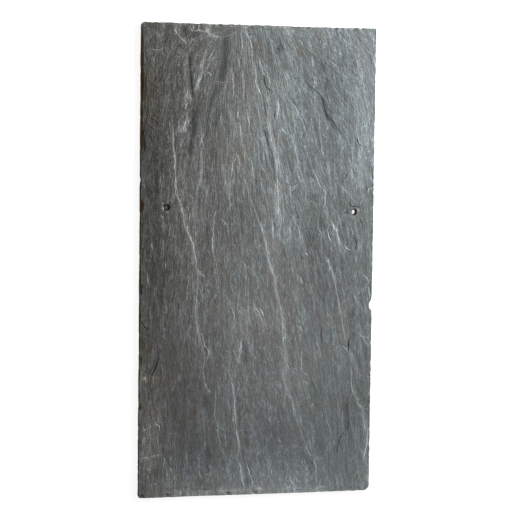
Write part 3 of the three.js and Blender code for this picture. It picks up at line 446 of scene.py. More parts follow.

# Soft patches where the stone is lighter or darker, its own tone and painted light and shade: place, reach
# and how much.
TONES = (
    ((39.5, -128), (5, 18), 0.1),
    ((41.5, -157), (5, 16), 0.12),
    ((-120, 224), (40, 26), 0.1),
    ((25, 224), (22, 22), 0.05),
    ((-30, 172), (40, 26), -0.03),
    ((-76, 124), (24, 24), -0.03),
    ((-25, 75), (24, 24), -0.102),
    ((-76, 0), (24, 46), -0.03),
    ((25, -80), (26, 30), 0.03),
    ((25, -174), (24, 24), -0.06),
    ((-126, -124), (26, 24), 0.04),
    ((-80, -150), (28, 50), 0.035),
    ((126, -100), (24, 50), 0.035),
    ((126, -274), (24, 24), 0.05),
    ((-126, 25), (24, 24), 0.08),
    ((-128, 0), (24, 400), 0.035),
    ((92, 190), (4, 6), -0.14),
    ((138, 121), (9, 22), 0.06),
    ((-140, 60), (24, 200), -0.30),
    ((-125, -150), (40, 90), -0.16),
    ((-90, -200), (45, 55), -0.14),
    ((-122, 240), (26, 45), -0.12),
    ((-22, 150), (22, 75), 0.20),
    ((-18, 250), (14, 45), 0.12),
    ((15, 250), (18, 40), -0.10),
    ((25, 269), (5.5, 6.5), -0.34),
    ((91, 190), (6, 7), -0.16),
    ((-63, -178), (6.5, 12), -0.28),
    ((24, 120), (10, 90), 0.08),
    ((-88, -265), (4.5, 6), -0.2),
    ((-132, -270), (12, 10), -0.16),
    ((50, -286), (6, 6), 0.2),
    ((47, 96), (3.4, 3.4), 0.3),
    ((88, 225), (22, 40), -0.16),
    ((95, 150), (20, 40), -0.14),
    ((139, 150), (13, 60), 0.26),
    ((138, 240), (14, 55), 0.18),
    ((-3, 60), (13, 45), -0.12),
    ((68, 40), (10, 60), -0.14),
    ((50, -110), (20, 60), 0.06),
    ((147, -235), (5, 25), 0.30),
    ((-90, 110), (12, 45), 0.08),
    ((60, -260), (40, 30), -0.05),
    ((-141, -222), (9, 26), 0.22),
    ((0, -293), (150, 5), 0.12),
    ((-40, 292), (70, 6), 0.12),
    ((78, -45), (45, 85), -0.13),
    ((140, -120), (25, 130), -0.10),
    ((-135, -265), (60, 60), 0.26),
    ((10, -280), (140, 24), 0.16),
    ((-76, 174), (20, 38), -0.14),
    ((35, -225), (30, 30), -0.10),
    ((-28, -80), (22, 34), 0.14),
    ((-28, 70), (20, 26), -0.10),
    ((-142, 100), (20, 120), -0.06),
    ((-132, 100), (24, 190), -0.21),
    ((-132, -30), (22, 70), -0.14),
    ((-125, -190), (25, 60), 0.1),
    ((128, -60), (24, 160), -0.08),
    ((22, 195), (20, 70), 0.17),
    ((22, 40), (20, 60), 0.13),
    ((85, 10), (26, 60), -0.07),
    ((112, -205), (50, 60), -0.07),
    ((-20, -70), (22, 26), 0.06),
    ((-20, -195), (26, 70), 0.07),
    ((-75, 288), (60, 20), -0.12),
    ((-85, 180), (20, 50), -0.08),
    ((-40, -275), (110, 16), 0.07),
    # the bruised band of the tail
    ((-60, -294), (50, 5.5), 0.40),
    ((60, -295), (90, 5), 0.26),
    ((-90, -290.5), (9, 3), 0.22),
    ((-65, -290.6), (6.5, 1.8), -0.3),
    ((-44, -292), (7, 4), 0.2),
    ((5, -291), (5, 4), 0.16),
    ((89, -293), (8, 4), 0.16),
    ((146.5, -284), (4, 16), 0.18),
    # uneven shades of the cleaved sheets
    ((-25, 270), (9, 14), 0.10),
    ((60, 268), (14, 8), 0.08),
    ((30, 230), (8, 22), -0.08),
    ((-149, 145), (5, 18), -0.20),
    ((-149, 262), (4, 14), -0.10),
    ((-55, 255), (5, 18), -0.17),
    ((-95, 283), (4, 7), -0.18),
    ((-100, 238), (8, 6), 0.09),
    ((-128, 256), (14, 10), -0.09),
    ((-136, 216), (5, 6), 0.1),
    ((-119, 206), (4, 8), -0.12),
    ((-85, 198), (10, 16), 0.13),
    ((-91, 185), (6, 9), 0.08),
    ((-54, 182), (6, 10), -0.17),
    ((-63, 187), (4, 6), -0.12),
    ((-14, 146), (5, 14), 0.13),
    ((-20, 126), (8, 8), 0.13),
    ((-36, 165), (4, 14), 0.08),
    ((-112, 126), (5, 12), -0.15),
    ((-141, 132), (5, 12), 0.1),
    ((-131, 106), (6, 8), 0.12),
    ((-95, 130), (5, 7), 0.09),
    ((-60, 297), (10, 3), 0.25),
    ((-132, 294), (5, 6), 0.11),
    ((22, 262), (12, 10), -0.12),
    ((45, 291), (6, 6), 0.1),
    ((127, 193), (4, 6), -0.1),
    ((4, 208), (5, 14), 0.16),
    ((7, 142), (5, 7), -0.17),
    ((87, 146), (6, 18), 0.13),
    ((139, 206), (4, 12), 0.1),
    ((148, 188), (3, 10), 0.1),
    ((55, 182), (5, 6), 0.07),
    # the middle
    ((-137, 30), (6, 70), 0.10),
    ((-122, 77), (5, 6), 0.09),
    ((-120, 34), (3, 4), 0.12),
    ((-117, 95), (6, 9), -0.16),
    ((-106, 70), (6, 12), -0.17),
    ((-101, 45), (6, 15), -0.12),
    ((-98, 18), (3, 8), -0.15),
    ((-122, 22), (5, 5), -0.1),
    ((-84, 67), (8, 9), 0.13),
    ((-80, 52), (6, 8), 0.1),
    ((-77, 25), (4, 8), 0.13),
    ((-73, 96), (8, 4), -0.14),
    ((-55, 36), (9, 8), -0.16),
    ((-3, 42), (4, 10), -0.12),
    ((-14, 95), (7, 6), 0.14),
    ((-109, -10), (5, 9), -0.14),
    ((-110, -48), (6, 18), -0.19),
    ((-85, -52), (8, 9), -0.16),
    ((-86, -84), (4, 8), -0.13),
    ((-104, -97), (6, 6), -0.13),
    ((-131, -80), (7, 7), 0.12),
    ((-57, -52), (10, 14), 0.1),
    ((-35, 0), (4, 24), 0.08),
    ((-24, -27), (8, 12), -0.16),
    ((-8, -25), (5, 6), 0.13),
    ((140, 91), (5, 4), -0.17),
    ((60, 74), (6, 4), -0.11),
    ((133, 60), (4, 9), 0.1),
    ((94, 46), (6, 4), -0.14),
    ((28, 34), (14, 8), 0.11),
    ((22, 23), (6, 7), 0.09),
    ((16, 1), (4, 8), -0.15),
    ((43, -9), (4, 6), -0.12),
    ((56, -8), (4, 5), 0.11),
    ((77, -48), (7, 11), -0.19),
    # painted highlight on the right edge, which faces the light
    ((149, -6), (5, 18), 0.28),
    ((149, 30), (4, 10), 0.13),
    ((149, -75), (4, 6), 0.18),
    ((12, -35), (4, 8), -0.14),
    ((27, -72), (5, 9), -0.1),
    ((120, -80), (8, 8), -0.12),
    ((50, -55), (7, 7), 0.08),
    # towards the tail
    ((-149, -121), (6, 8), 0.25),
    ((-149, -184), (4, 10), 0.25),
    ((-113, -203), (4, 13), -0.16),
    ((-148, -236), (3, 10), -0.15),
    ((-143, -252), (5, 4), 0.12),
    ((-125, -185), (3, 6), 0.1),
    ((-131, -222), (4, 5), -0.12),
    ((-118, -236), (4, 6), 0.16),
    ((-87, -263), (5, 6.5), -0.24),
    ((-112, -255), (5, 12), -0.12),
    ((-133, -272), (6, 8), -0.15),
    ((-122, -287), (4, 5), 0.2),
    ((-84, -294), (7, 4), -0.17),
    ((-52, -126), (7, 18), 0.13),
    ((-66, -140), (4, 12), -0.12),
    ((-62, -168), (7, 9), -0.15),
    ((-60, -184), (5, 7), -0.15),
    ((-76, -213), (5, 6), -0.14),
    ((-83, -184), (5, 8), 0.1),
    ((-26, -115), (4, 14), -0.19),
    ((-31, -136), (6, 8), 0.17),
    ((-26, -227), (4, 7), -0.17),
    ((-5, -283), (6, 4), -0.12),
    ((8, -133), (4.5, 13), -0.22),
    ((20, -135), (4, 12), 0.1),
    ((52, -145), (6, 6), 0.12),
    ((36, -193), (7, 12), -0.15),
    ((30, -173), (4, 6), -0.13),
    ((38, -229), (5, 8), 0.13),
    ((113, -186), (7, 14), -0.14),
    ((75, -221), (5, 6), -0.18),
    ((76, -262), (9, 7), -0.15),
    ((77, -240), (6, 6), -0.12),
    ((105, -230), (8, 8), 0.1),
    ((50, -270), (5, 7), 0.18),
    ((22, -280), (6, 6), 0.1),
    ((133, -276), (6, 5), -0.14),
    ((110, -296), (14, 4), -0.22),
    ((135, -148), (4, 9), 0.11),
    ((138, -170), (3, 6), 0.12),
    # broad shades
    ((-95, 225), (60, 40), -0.05),
    ((-75, 180), (22, 30), -0.06),
    ((-25, 75), (22, 24), -0.06),
    ((-20, 250), (40, 36), -0.06),
    ((75, 225), (22, 20), -0.09),
    ((25, 28), (20, 22), 0.06),
    ((75, -10), (24, 40), -0.05),
    ((125, -110), (20, 40), 0.05),
    ((25, -222), (20, 20), -0.144),
    ((-10, -280), (50, 18), 0.09),
    ((-130, -200), (20, 50), 0.06),
    ((-100, 185), (45, 90), -0.065),
    ((-25, 250), (24, 40), -0.04),
    ((25, 223), (20, 22), 0.08),
    ((75, 173), (70, 25), 0.04),
    ((75, -25), (24, 24), -0.07),
    ((-130, -25), (18, 24), -0.06),
    ((-50, 25), (45, 22), -0.05),
    ((5, -75), (40, 24), 0.05),
    ((125, -75), (20, 24), 0.05),
    ((85, -126), (60, 30), 0.08),
    ((-130, -140), (20, 45), 0.06),
    ((-25, -170), (20, 24), 0.05),
    ((-92, 207), (4, 6), 0.2),
    ((136, 122), (7, 24), 0.07),
    ((-52.5, 206.6), (4, 9), 0.12),
    ((-144.4, -146.6), (3.2, 2.0), 1.8),
    ((-141.5, -150), (1.4, 2.6), 0.5),
    ((-94, 175), (4, 8), 0.16),
)

# Soft swells of the cleaved face: how much paler the slope is (it leans to the light) or
# darker (it leans away), half the width of the slope, and its walk.
SWELLS = (
    # under the head, left
    (-0.38, 5.0, (-44, 286), (-45, 270), (-46, 255), (-49, 240), (-53, 228)),
    (-0.33, 3.5, (-54, 224), (-58, 210), (-61, 197)),
    (-0.30, 3.2, (-50, 198), (-54, 188), (-56, 178), (-58, 168)),
    (0.36, 2.6, (-69, 264), (-73, 250), (-76, 238), (-79, 226), (-82, 213)),
    (0.45, 3.8, (-94, 219), (-92, 205)),
    (0.42, 3.4, (-93, 192), (-93, 182), (-96, 172), (-100, 162)),
    (0.22, 2.6, (-112, 176), (-111, 160), (-110, 145), (-108, 130), (-107, 112)),
    (-0.33, 2.4, (-90, 262), (-89, 242), (-88, 228), (-86, 212)),
    (-0.33, 3.0, (-84, 192), (-84, 180), (-84, 165), (-87, 150), (-88, 136)),
    (0.45, 4.0, (-71, 297), (-66, 288), (-60, 284), (-53, 282)),
    (0.36, 3.4, (-110, 298), (-104, 288), (-98, 280)),
    (-0.34, 3.8, (-97, 293), (-94, 284)),
    (-0.18, 4.0, (-84, 272), (-83, 264)),
    (0.26, 3.0, (-36, 242), (-36, 228)),
    (0.18, 3.0, (-31, 292), (-34, 276), (-35, 262)),
    (0.14, 3.0, (-72, 160), (-73, 148), (-74, 130)),
    (-0.14, 5.0, (-60, 142), (-58, 126)),
    (0.14, 3.0, (-92, 136), (-95, 114)),
    (-0.16, 3.0, (-132, 120), (-133, 100), (-133, 82), (-134, 62)),
    (0.18, 3.0, (-8, 252), (-3, 232), (0, 212)),
    (0.15, 2.2, (-22, 190), (-17, 177)),
    # under the head, right
    (0.24, 3.2, (2, 252), (3, 236), (5, 222), (3, 213)),
    (0.30, 4.2, (11, 188), (14, 168), (18, 150), (22, 132), (25, 112)),
    (0.30, 2.6, (24, 206), (24, 189)),
    (-0.33, 2.4, (4, 180), (7, 164), (12, 148), (16, 136), (18, 120)),
    (-0.14, 5.0, (54, 275), (52, 260)),
    (0.18, 3.0, (35, 242), (38, 228), (42, 214)),
    (0.18, 3.0, (42, 204), (48, 192), (51, 181)),
    (-0.12, 4.0, (25, 248), (24, 232)),
    (-0.20, 3.0, (86, 258), (83, 246), (81, 236)),
    (-0.20, 3.0, (89, 236), (88, 222), (87, 210)),
    (-0.24, 2.2, (82, 208), (85, 196), (88, 186), (94, 178), (99, 171), (106, 162)),
    (-0.22, 3.0, (92, 170), (95, 158)),
    (-0.12, 5.0, (108, 264), (109, 248)),
    (-0.18, 4.0, (108, 216), (114, 205)),
    (0.12, 3.0, (66, 258), (68, 244)),
    (0.12, 2.6, (70, 223), (76, 214)),
    (-0.14, 2.6, (62, 228), (65, 220)),
    (-0.14, 2.6, (73, 180), (75, 163)),
    (0.12, 3.0, (29, 175), (32, 163)),
    (-0.18, 3.0, (114, 150), (115, 138)),
    (-0.14, 4.0, (105, 146), (102, 128)),
    (-0.14, 4.0, (64, 130), (67, 118), (71, 106)),
    (0.14, 3.0, (49, 128), (53, 113), (58, 98)),
    # the middle, left
    (0.35, 3.0, (-107, 100), (-105, 86)),
    (0.32, 2.8, (-100, 78), (-95, 60), (-90, 42), (-85, 28), (-81, 10), (-79, -4), (-74, -15)),
    (0.24, 4.0, (-87, 78), (-83, 66), (-80, 56)),
    (0.22, 4.5, (-83, 46), (-82, 30), (-80, 14)),
    (-0.14, 4.0, (-105, 66), (-100, 46), (-97, 22)),
    (0.18, 3.0, (-142, 78), (-142, 66)),
    (-0.14, 3.0, (-126, 44), (-127, 26)),
    (-0.16, 3.4, (-108, 4), (-108, -20), (-109, -50)),
    (0.22, 3.0, (-141, -15), (-140, -34)),
    (-0.12, 3.0, (-92, -48), (-90, -62), (-86, -76)),
    (0.14, 2.6, (-57, 32), (-57, 10)),
    (-0.14, 2.8, (-64, 62), (-65, 45), (-65, 26)),
    (0.26, 2.6, (-79, -58), (-78, -70), (-76, -84), (-72, -98)),
    (0.18, 4.0, (-36, -46), (-32, -62)),
    (0.30, 2.8, (-4, -56), (2, -66)),
    # the middle, right
    (0.26, 3.6, (24, 102), (25, 85), (26, 70), (27, 57)),
    (0.12, 3.0, (12, 96), (14, 86)),
    (0.28, 3.0, (10, 30), (12, 15), (15, 0), (20, -12), (24, -25), (25, -36), (30, -50), (34, -65), (36, -80),
     (38, -100)),
    (0.18, 4.5, (34, 48), (43, 36)),
    (-0.18, 3.4, (43, 72), (44, 60)),
    (-0.26, 3.8, (66, 44), (69, 28), (73, 12)),
    (-0.22, 4.6, (107, 94), (106, 78), (108, 62)),
    (-0.16, 3.4, (112, 60), (114, 42)),
    (0.32, 2.8, (89, 53), (97, 47), (101, 42), (105, 32), (108, 24)),
    (0.14, 2.8, (84, 96), (86, 80), (88, 64)),
    (-0.14, 2.8, (82, 60), (84, 48)),
    (-0.22, 2.8, (111, 6), (113, -14)),
    (-0.26, 2.8, (126, 38), (129, 18)),
    (0.14, 2.8, (111, 23), (121, 15)),
    (0.18, 2.4, (89, 9), (94, -2), (98, -12), (103, -24)),
    (-0.14, 2.4, (99, -36), (103, -52), (105, -64)),
    (0.22, 2.8, (107, -48), (110, -62), (114, -76)),
    (0.14, 5.0, (48, 0), (53, -16), (54, -32), (49, -50)),
    (-0.24, 3.6, (124, -58), (126, -78), (128, -98)),
    (-0.14, 3.4, (137, -40), (139, -52)),
    (-0.12, 3.0, (84, -86), (86, -102)),
    (-0.12, 3.0, (36, 24), (33, 2)),
    # towards the tail, left
    (-0.26, 3.0, (-128, -116), (-133, -130), (-138, -142)),
    (-0.14, 5.0, (-103, -102), (-106, -128)),
    (-0.12, 4.0, (-135, -158), (-137, -174)),
    (0.14, 3.6, (-126, -184), (-124, -200), (-123, -216)),
    (-0.14, 4.6, (-96, -152), (-92, -170)),
    (0.14, 2.6, (-70, -146), (-65, -162)),
    (0.24, 4.4, (-33, -138), (-32, -152), (-30, -166)),
    (0.24, 2.6, (-28, -172), (-27, -190), (-27, -207)),
    (0.2, 2.6, (-25, -216), (-22, -238)),
    (0.22, 2.8, (-20, -262), (-16, -284)),
    (0.30, 2.4, (-20, -101), (-23, -115), (-24, -130)),
    (-0.22, 3.6, (-14, -112), (-16, -134)),
    (-0.18, 7.0, (-80, -236), (-80, -262)),
    (-0.18, 4.6, (-62, -236), (-64, -268)),
    (0.14, 2.8, (-53, -196), (-48, -218)),
    (-0.14, 3.6, (-12, -222), (-11, -240)),
    (-0.14, 3.6, (-34, -230), (-35, -242)),
    (-0.14, 3.6, (-10, -276), (-9, -288)),
    # towards the tail, right
    (0.14, 4.0, (36, -102), (40, -120), (38, -140), (42, -155), (43, -168), (48, -182), (53, -196),
     (58, -208)),
    (-0.18, 4.6, (4, -108), (8, -134)),
    (-0.18, 5.4, (84, -124), (87, -150)),
    (-0.18, 2.8, (136, -120), (140, -138)),
    (0.18, 2.8, (122, -112), (130, -130), (137, -146)),
    (0.22, 2.8, (128, -158), (133, -175), (141, -190), (143, -205), (147, -222)),
    (-0.22, 3.8, (120, -172), (121, -190), (122, -222)),
    (0.18, 3.6, (101, -230), (107, -240)),
    (-0.14, 5.4, (83, -232), (85, -248)),
    (-0.22, 2.8, (73, -256), (77, -268)),
    (0.14, 2.8, (60, -152), (69, -168)),
    (-0.12, 4.0, (132, -260), (125, -278)),
    # further ones, from the head down
    (0.14, 2.4, (-103, 278), (-98, 270), (-94, 263)),
    (-0.12, 2.6, (-72, 178), (-76, 165), (-80, 155)),
    (-0.20, 4.0, (110, 272), (110, 255), (109, 240), (111, 228), (118, 218)),
    (0.12, 3.5, (119, 280), (120, 262), (118, 250)),
    (-0.15, 3.0, (53, 227), (60, 219), (66, 214)),
    (0.10, 2.4, (62, 232), (68, 225), (74, 217)),
    (0.16, 3.0, (36, 246), (41, 232), (45, 216), (48, 200)),
    (-0.16, 3.4, (86, 188), (90, 176), (94, 166)),
    (-0.13, 4.0, (68, 122), (71, 106)),
    (0.15, 3.0, (12, 84), (15, 68), (21, 52)),
    (-0.16, 3.0, (125, 52), (123, 42), (121, 31)),
    (-0.15, 2.6, (49, 29), (54, 15), (62, -4)),
    (-0.14, 5.0, (110, 5), (111, -12), (114, -35)),
    (0.13, 3.0, (58, -30), (62, -45), (66, -57)),
    (-0.12, 3.0, (98, -32), (102, -48)),
    (0.13, 3.0, (-126, -126), (-120, -140), (-117, -150), (-121, -165)),
    (0.12, 2.6, (-137, -222), (-131, -231), (-127, -237)),
    (0.12, 3.4, (-48, -155), (-47, -175), (-43, -195), (-38, -215)),
    (0.14, 2.6, (46, -158), (52, -175), (60, -196)),
    (0.15, 3.0, (22, -180), (26, -195), (26, -210)),
    (-0.12, 3.0, (25, -226), (17, -236), (11, -244)),
)

# Pale beige scars where the crust is knocked off: place and reach.
SCARS = (
    ((-144, -145.5), (3.2, 3.0)),
    ((-141, -151), (2.2, 2.6)),
    ((-103, -291), (6, 3.4)),
    ((-88, -294), (5, 3)),
    ((5, -292), (8, 3)),
    ((44, -291), (5, 3)),
    ((88, -292), (10, 3)),
    ((-66, 291), (4, 5)),
    ((-54, 288), (7, 4)),
    ((-108, 293), (4, 4)),
    ((42, 293), (5, 5)),
    ((63, 295), (5, 3)),
    ((8, 296), (6, 2.6)),
    ((-20, 296), (8, 2.6)),
)

# Where the stone is a warmer grey or a cooler one: place, reach and how much.
HUES = (
    ((146, 10), (10, 100), -0.3),
    ((60, -60), (60, 130), 0.32),
    ((-20, 110), (35, 120), 0.16),
    ((-125, -265), (90, 62), -0.55),
    ((-100, 140), (60, 150), 0.08),
    ((20, -230), (70, 60), -0.12),
    ((130, 200), (40, 110), -0.12),
    ((125, 265), (50, 50), 0.16),
    ((60, -150), (70, 70), 0.16),
    ((-130, -130), (30, 50), -0.15),
    ((130, 20), (40, 110), 0.08),
    ((-25, 250), (30, 40), 0.1),
)

# Where the stone is rougher or smoother: place, reach and how much.
ROUGHS = (
    ((40, -142), (6, 32), -0.45),
    ((130, 215), (32, 90), -0.18),
    ((128, 285), (40, 26), -0.16),
    ((75, 190), (26, 90), -0.10),
    ((-75, -190), (38, 70), -0.16),
    ((-95, -292), (40, 22), 0.20),
    ((136, 122), (9, 26), -0.45),
    ((140, 278), (12, 16), -0.3),
)

# The dark film of the left edge, partly stain and partly painted shade, reaches in as far as this line.
OLIVE_BANK = ((-151, 120), (-148.5, 135), (-147, 158), (-144.3, 180), (-142, 205), (-143, 240), (-150, 275))

# ------------------------------------------------------------------ node expressions


def math_operator(operation, swapped=False):
    """An operator of Socket that adds a Math node."""

    def apply(self, other):
        values = (other, self) if swapped else (self, other)
        return self.graph.maths(operation, *values)

    return apply


class Socket:
    """A node's output that can be used in an expression."""

    def __init__(self, graph, socket):
        self.graph = graph
        self.socket = socket

    __add__ = __radd__ = math_operator("ADD")
    __mul__ = __rmul__ = math_operator("MULTIPLY")
    __sub__ = math_operator("SUBTRACT")
    __rsub__ = math_operator("SUBTRACT", swapped=True)
    __truediv__ = math_operator("DIVIDE")
    __pow__ = math_operator("POWER")


class Graph:
    """Adds nodes to a shader or geometry tree from plain calls and expressions."""

    def __init__(self, tree):
        self.tree = tree

    def node(self, kind, settings=None, values=None, out=0):
        """Adds a node, applies its settings, feeds its sockets and gives one of its outputs."""
        made = self.tree.nodes.new(kind)
        for name, value in (settings or {}).items():
            setattr(made, name, value)
        for name, value in (values or {}).items():
            if isinstance(value, Socket):
                self.tree.links.new(value.socket, made.inputs[name])
            else:
                made.inputs[name].default_value = value
        return Socket(self, made.outputs[out])

    def colour_ramp(self, value, *colours):
        """A colour that runs evenly through the given ones while the value goes from 0 to 1."""
        made = self.node("ShaderNodeValToRGB", {}, {0: value})
        stops = made.socket.node.color_ramp.elements
        while len(stops) < len(colours):
            stops.new(0.5)
        for k, colour in enumerate(colours):
            stops[k].position = k / (len(colours) - 1)
            stops[k].color = opaque(colour)
        return made

    def maths(self, operation, *values):
        return self.node("ShaderNodeMath", {"operation": operation}, dict(enumerate(values)))

    def floor(self, value):
        return self.maths("FLOOR", value)

    def size(self, value):
        """A value without its sign."""
        return self.maths("ABSOLUTE", value)

    def least(self, value, limit):
        return self.maths("MINIMUM", value, limit)

    def most(self, value, limit):
        return self.maths("MAXIMUM", value, limit)

    def step(self, value, low, high, start=0.0, end=1.0):
        """A soft step from start to end while the value goes from low to high."""
        return self.node(
            "ShaderNodeMapRange",
            {"interpolation_type": "SMOOTHSTEP"},
            {"Value": value, "From Min": low, "From Max": high, "To Min": start, "To Max": end},
        )

    def vector(self, x, y, z):
        return self.node("ShaderNodeCombineXYZ", {}, {0: x, 1: y, 2: z})

    def split(self, vector):
        """The three parts of a vector."""
        made = self.node("ShaderNodeSeparateXYZ", {}, {0: vector})
        return [Socket(self, made.socket.node.outputs[i]) for i in range(3)]

    def vector_maths(self, operation, values):
        return self.node("ShaderNodeVectorMath", {"operation": operation}, values)

    def noise(self, vector, scale=1.0, detail=3.0, roughness=0.55, warp=0.0, out=0):
        """Fractal noise, about 0 to 1 round 0.5; its output 1 has three parts."""
        values = {"Vector": vector, "Scale": scale, "Detail": detail, "Roughness": roughness}
        settings = {"noise_dimensions": "3D"}
        return self.node("ShaderNodeTexNoise", settings, {**values, "Distortion": warp}, out)

    def mixed(self, *parts):
        """The sum of noises, each laid round 0 and times its weight."""
        total = None
        for noise, weight in parts:
            part = (noise - 0.5) * weight
            total = part if total is None else total + part
        return total

    def blend(self, factor, first, second, kind="MIX"):
        """Mixes two colours."""
        settings = {"data_type": "RGBA", "blend_type": kind, "clamp_factor": True}
        return self.node("ShaderNodeMix", settings, {0: factor, 6: first, 7: second}, out=2)

    def terraced(self, noise, steps, slope):
        """A noise cut into level terraces with short slopes, and the number of each one."""
        climb = noise * steps
        whole = self.floor(climb)
        return (whole + self.step(climb - whole, 0.0, slope)) / steps, whole


def opaque(colour):
    return (*colour, 1.0)


# ------------------------------------------------------------------ plan of the grain

FAN_CENTRE = (-25, 520)  # the grain fans out from here, above the head
FAN_MIDDLE = -10
FAN_HALF_WIDTH = 75  # further from the middle the fan fades,
FAN_FADE = 25  # over about this far,
FAN_SHARE = 0.25  # to this share
GRAIN_LEAN = 0.05  # how far all of the grain leans to the left, as a slope
GRAIN_EDDY = 0.2  # and how far it leans back in an eddy under the head
EDDY_PLACE, EDDY_REACH = (-62, 250), (30, 60)


def bump(x, y, place, reach):
    """A soft patch, 1 at its middle."""
    return np.exp(-(((x - place[0]) / reach[0]) ** 2) - ((y - place[1]) / reach[1]) ** 2)


def ramp(value, span):
    """Rises from 0 to 1 while the value goes from 0 to span."""
    return np.clip(value / span, 0, 1)


def grain_slope(x, y):
    """How far the grain leans sideways for each millimetre up the tile: it fans out from the head."""
    fan = (x - FAN_CENTRE[0]) / (y - FAN_CENTRE[1])
    past = np.maximum(np.abs(x - FAN_MIDDLE) - FAN_HALF_WIDTH, 0)
    share = FAN_SHARE + (1 - FAN_SHARE) * np.exp(-past / FAN_FADE)
    return fan * share - GRAIN_LEAN + GRAIN_EDDY * bump(x, y, EDDY_PLACE, EDDY_REACH)


def grain_lines(x, y, steps=40):
    """Follows the grain from each place to the tile's middle and gives where it lands."""
    across = x.copy()
    height = y.copy()
    stride = -y / steps
    for _ in range(steps):
        half = across + 0.5 * stride * grain_slope(across, height)
        across = across + stride * grain_slope(half, height + 0.5 * stride)
        height = height + stride
    return across


def smooth_walk(points, pieces=4):
    """A walk rounded into short straight pieces by a Catmull-Rom curve."""
    knots = np.array([points[0], *points, points[-1]], dtype=float)
    t = np.linspace(0, 1, pieces, endpoint=False)[:, None]
    spans = []
    for p0, p1, p2, p3 in zip(knots, knots[1:], knots[2:], knots[3:]):
        bend = 2 * p0 - 5 * p1 + 4 * p2 - p3
        twist = 3 * p1 - p0 - 3 * p2 + p3
        spans.append(0.5 * (2 * p1 + (p2 - p0) * t + bend * t**2 + twist * t**3))
    return np.vstack([*spans, knots[-1:]])


class Walk:
    """A line over the face, with its strength and width, whose distance can be asked for."""

    END_FADE = 1.5  # widths past an end over which a line dies out
    TIP = 0.4  # share of its strength that a line has at an end
    TAPER = 6.0  # how far from an end it has its full strength,
    TAPER_SHARE = 0.3  # or this share of its length, if that is nearer

    def __init__(self, strength, width, *points):
        self.strength = strength
        self.width = width
        self.walk = smooth_walk(points) * PLAN_SCALE + PLAN_SHIFT
        along = np.diff(self.walk, axis=0)
        self.lengths = np.maximum(np.hypot(*along.T), 1e-9)
        self.ways = along / self.lengths[:, None]
        normal = np.array([-along[:, 1].sum(), along[:, 0].sum()])
        self.turn = math.copysign(1, normal @ TO_LIGHT)

    def near(self, x, y, reach):
        """The places within reach: their numbers, signed distances and how much of the line shows."""
        low, high = self.walk.min(0) - reach, self.walk.max(0) + reach
        numbers = np.flatnonzero((x > low[0]) & (x < high[0]) & (y > low[1]) & (y < high[1]))
        place = np.stack([x[numbers], y[numbers]], 1)
        nearest = np.full(numbers.size, np.inf)
        side = np.ones(numbers.size)
        past = np.zeros(numbers.size)
        walked = np.zeros(numbers.size)
        before = 0.0
        last = len(self.lengths) - 1
        for k, (start, way, length) in enumerate(zip(self.walk, self.ways, self.lengths)):
            offset = place - start
            raw = offset @ way
            along = np.clip(raw, 0, length)
            gap = np.hypot(*(offset - along[:, None] * way).T)
            closer = gap < nearest
            nearest[closer] = gap[closer]
            side[closer] = np.sign(way[0] * offset[:, 1] - way[1] * offset[:, 0])[closer]
            over = np.maximum(-raw if k == 0 else 0, raw - length if k == last else 0)
            past[closer] = np.broadcast_to(over, closer.shape)[closer]
            walked[closer] = before + along[closer]
            before += length
        kept = nearest < reach
        grown = np.minimum(walked, before - walked) / min(self.TAPER, self.TAPER_SHARE * before)
        taper = grown * (1 - self.TIP) + self.TIP
        faded = np.clip(1 - past / (self.END_FADE * max(self.width, 1)), 0, 1)
        shown = faded * np.minimum(taper, 1)
        return numbers[kept], (self.turn * side * nearest)[kept], shown[kept]


def walks_of(rows, more=1.0, wider=1.0):
    """The walks of a table's rows, their strengths and widths times these factors."""
    return [Walk(more * strength, wider * width, *points) for strength, width, *points in rows]


def seams_and_cracks():
    return walks_of(SEAMS, SEAM_STRENGTH, SEAM_WIDTH) + walks_of(CRACKS, CRACK_STRENGTH, CRACK_WIDTH)


def sort_walks(walks, apart=7.0):
    """Shares lines out among layers so that those in one layer keep apart."""
    layers = []
    for walk in walks:
        for layer in layers:
            if all(gap_between(walk, other) > apart for other in layer):
                layer.append(walk)
                break
        else:
            layers.append([walk])
    return layers


def gap_between(first, second):
    """The least distance between two walks' points."""
    gaps = first.walk[:, None] - second.walk[None]
    return np.sqrt((gaps**2).sum(-1).min())


def line_field(x, y, layer, reach=3.4):
    """Signed distance to a layer's nearest line, the line's strength there, and its width."""
    field = np.tile([reach, 0.0, 1.0], (x.size, 1))
    for walk in layer:
        numbers, distance, shown = walk.near(x, y, reach)
        widths = np.full(numbers.size, walk.width)
        field[numbers] = np.stack([distance, walk.strength * shown, widths], 1)
    return field


def step_relief(x, y, walks, depth=0.32, crack_share=0.35, reach=26.0, deepest=0.9):
    """How deep the broken sheets leave each place: a line's lit side lies lower for a pale seam."""
    sunk = np.zeros_like(x)
    for walk in walks:
        numbers, distance, shown = walk.near(x, y, reach)
        sign = math.copysign(1, walk.strength)
        ahead = np.clip(sign * distance, 0, None)
        fall = np.where(sign * distance > 0, np.exp(-((ahead / (0.4 * reach)) ** 2)), 0)
        share = 1.0 if sign > 0 else crack_share
        sunk[numbers] += share * depth * abs(walk.strength) * shown * fall
    return np.minimum(sunk, deepest)


def swell_relief(x, y, swells, drop=1.5, deepest=0.8):
    """How deep the slopes of the soft swells leave each place; drop is for a strength of 1."""
    sunk = np.zeros_like(x)
    for walk in swells:
        reach = 4 * walk.width
        numbers, distance, shown = walk.near(x, y, reach)
        ahead = math.copysign(1, walk.strength) * distance
        slope = np.clip(0.5 + 0.5 * ahead / walk.width, 0, 1)
        back = np.exp(-((np.maximum(ahead, 0) / (0.45 * reach)) ** 2))
        sunk[numbers] += drop * abs(walk.strength) * shown * slope**2 * (3 - 2 * slope) * back
    return np.minimum(sunk, deepest)


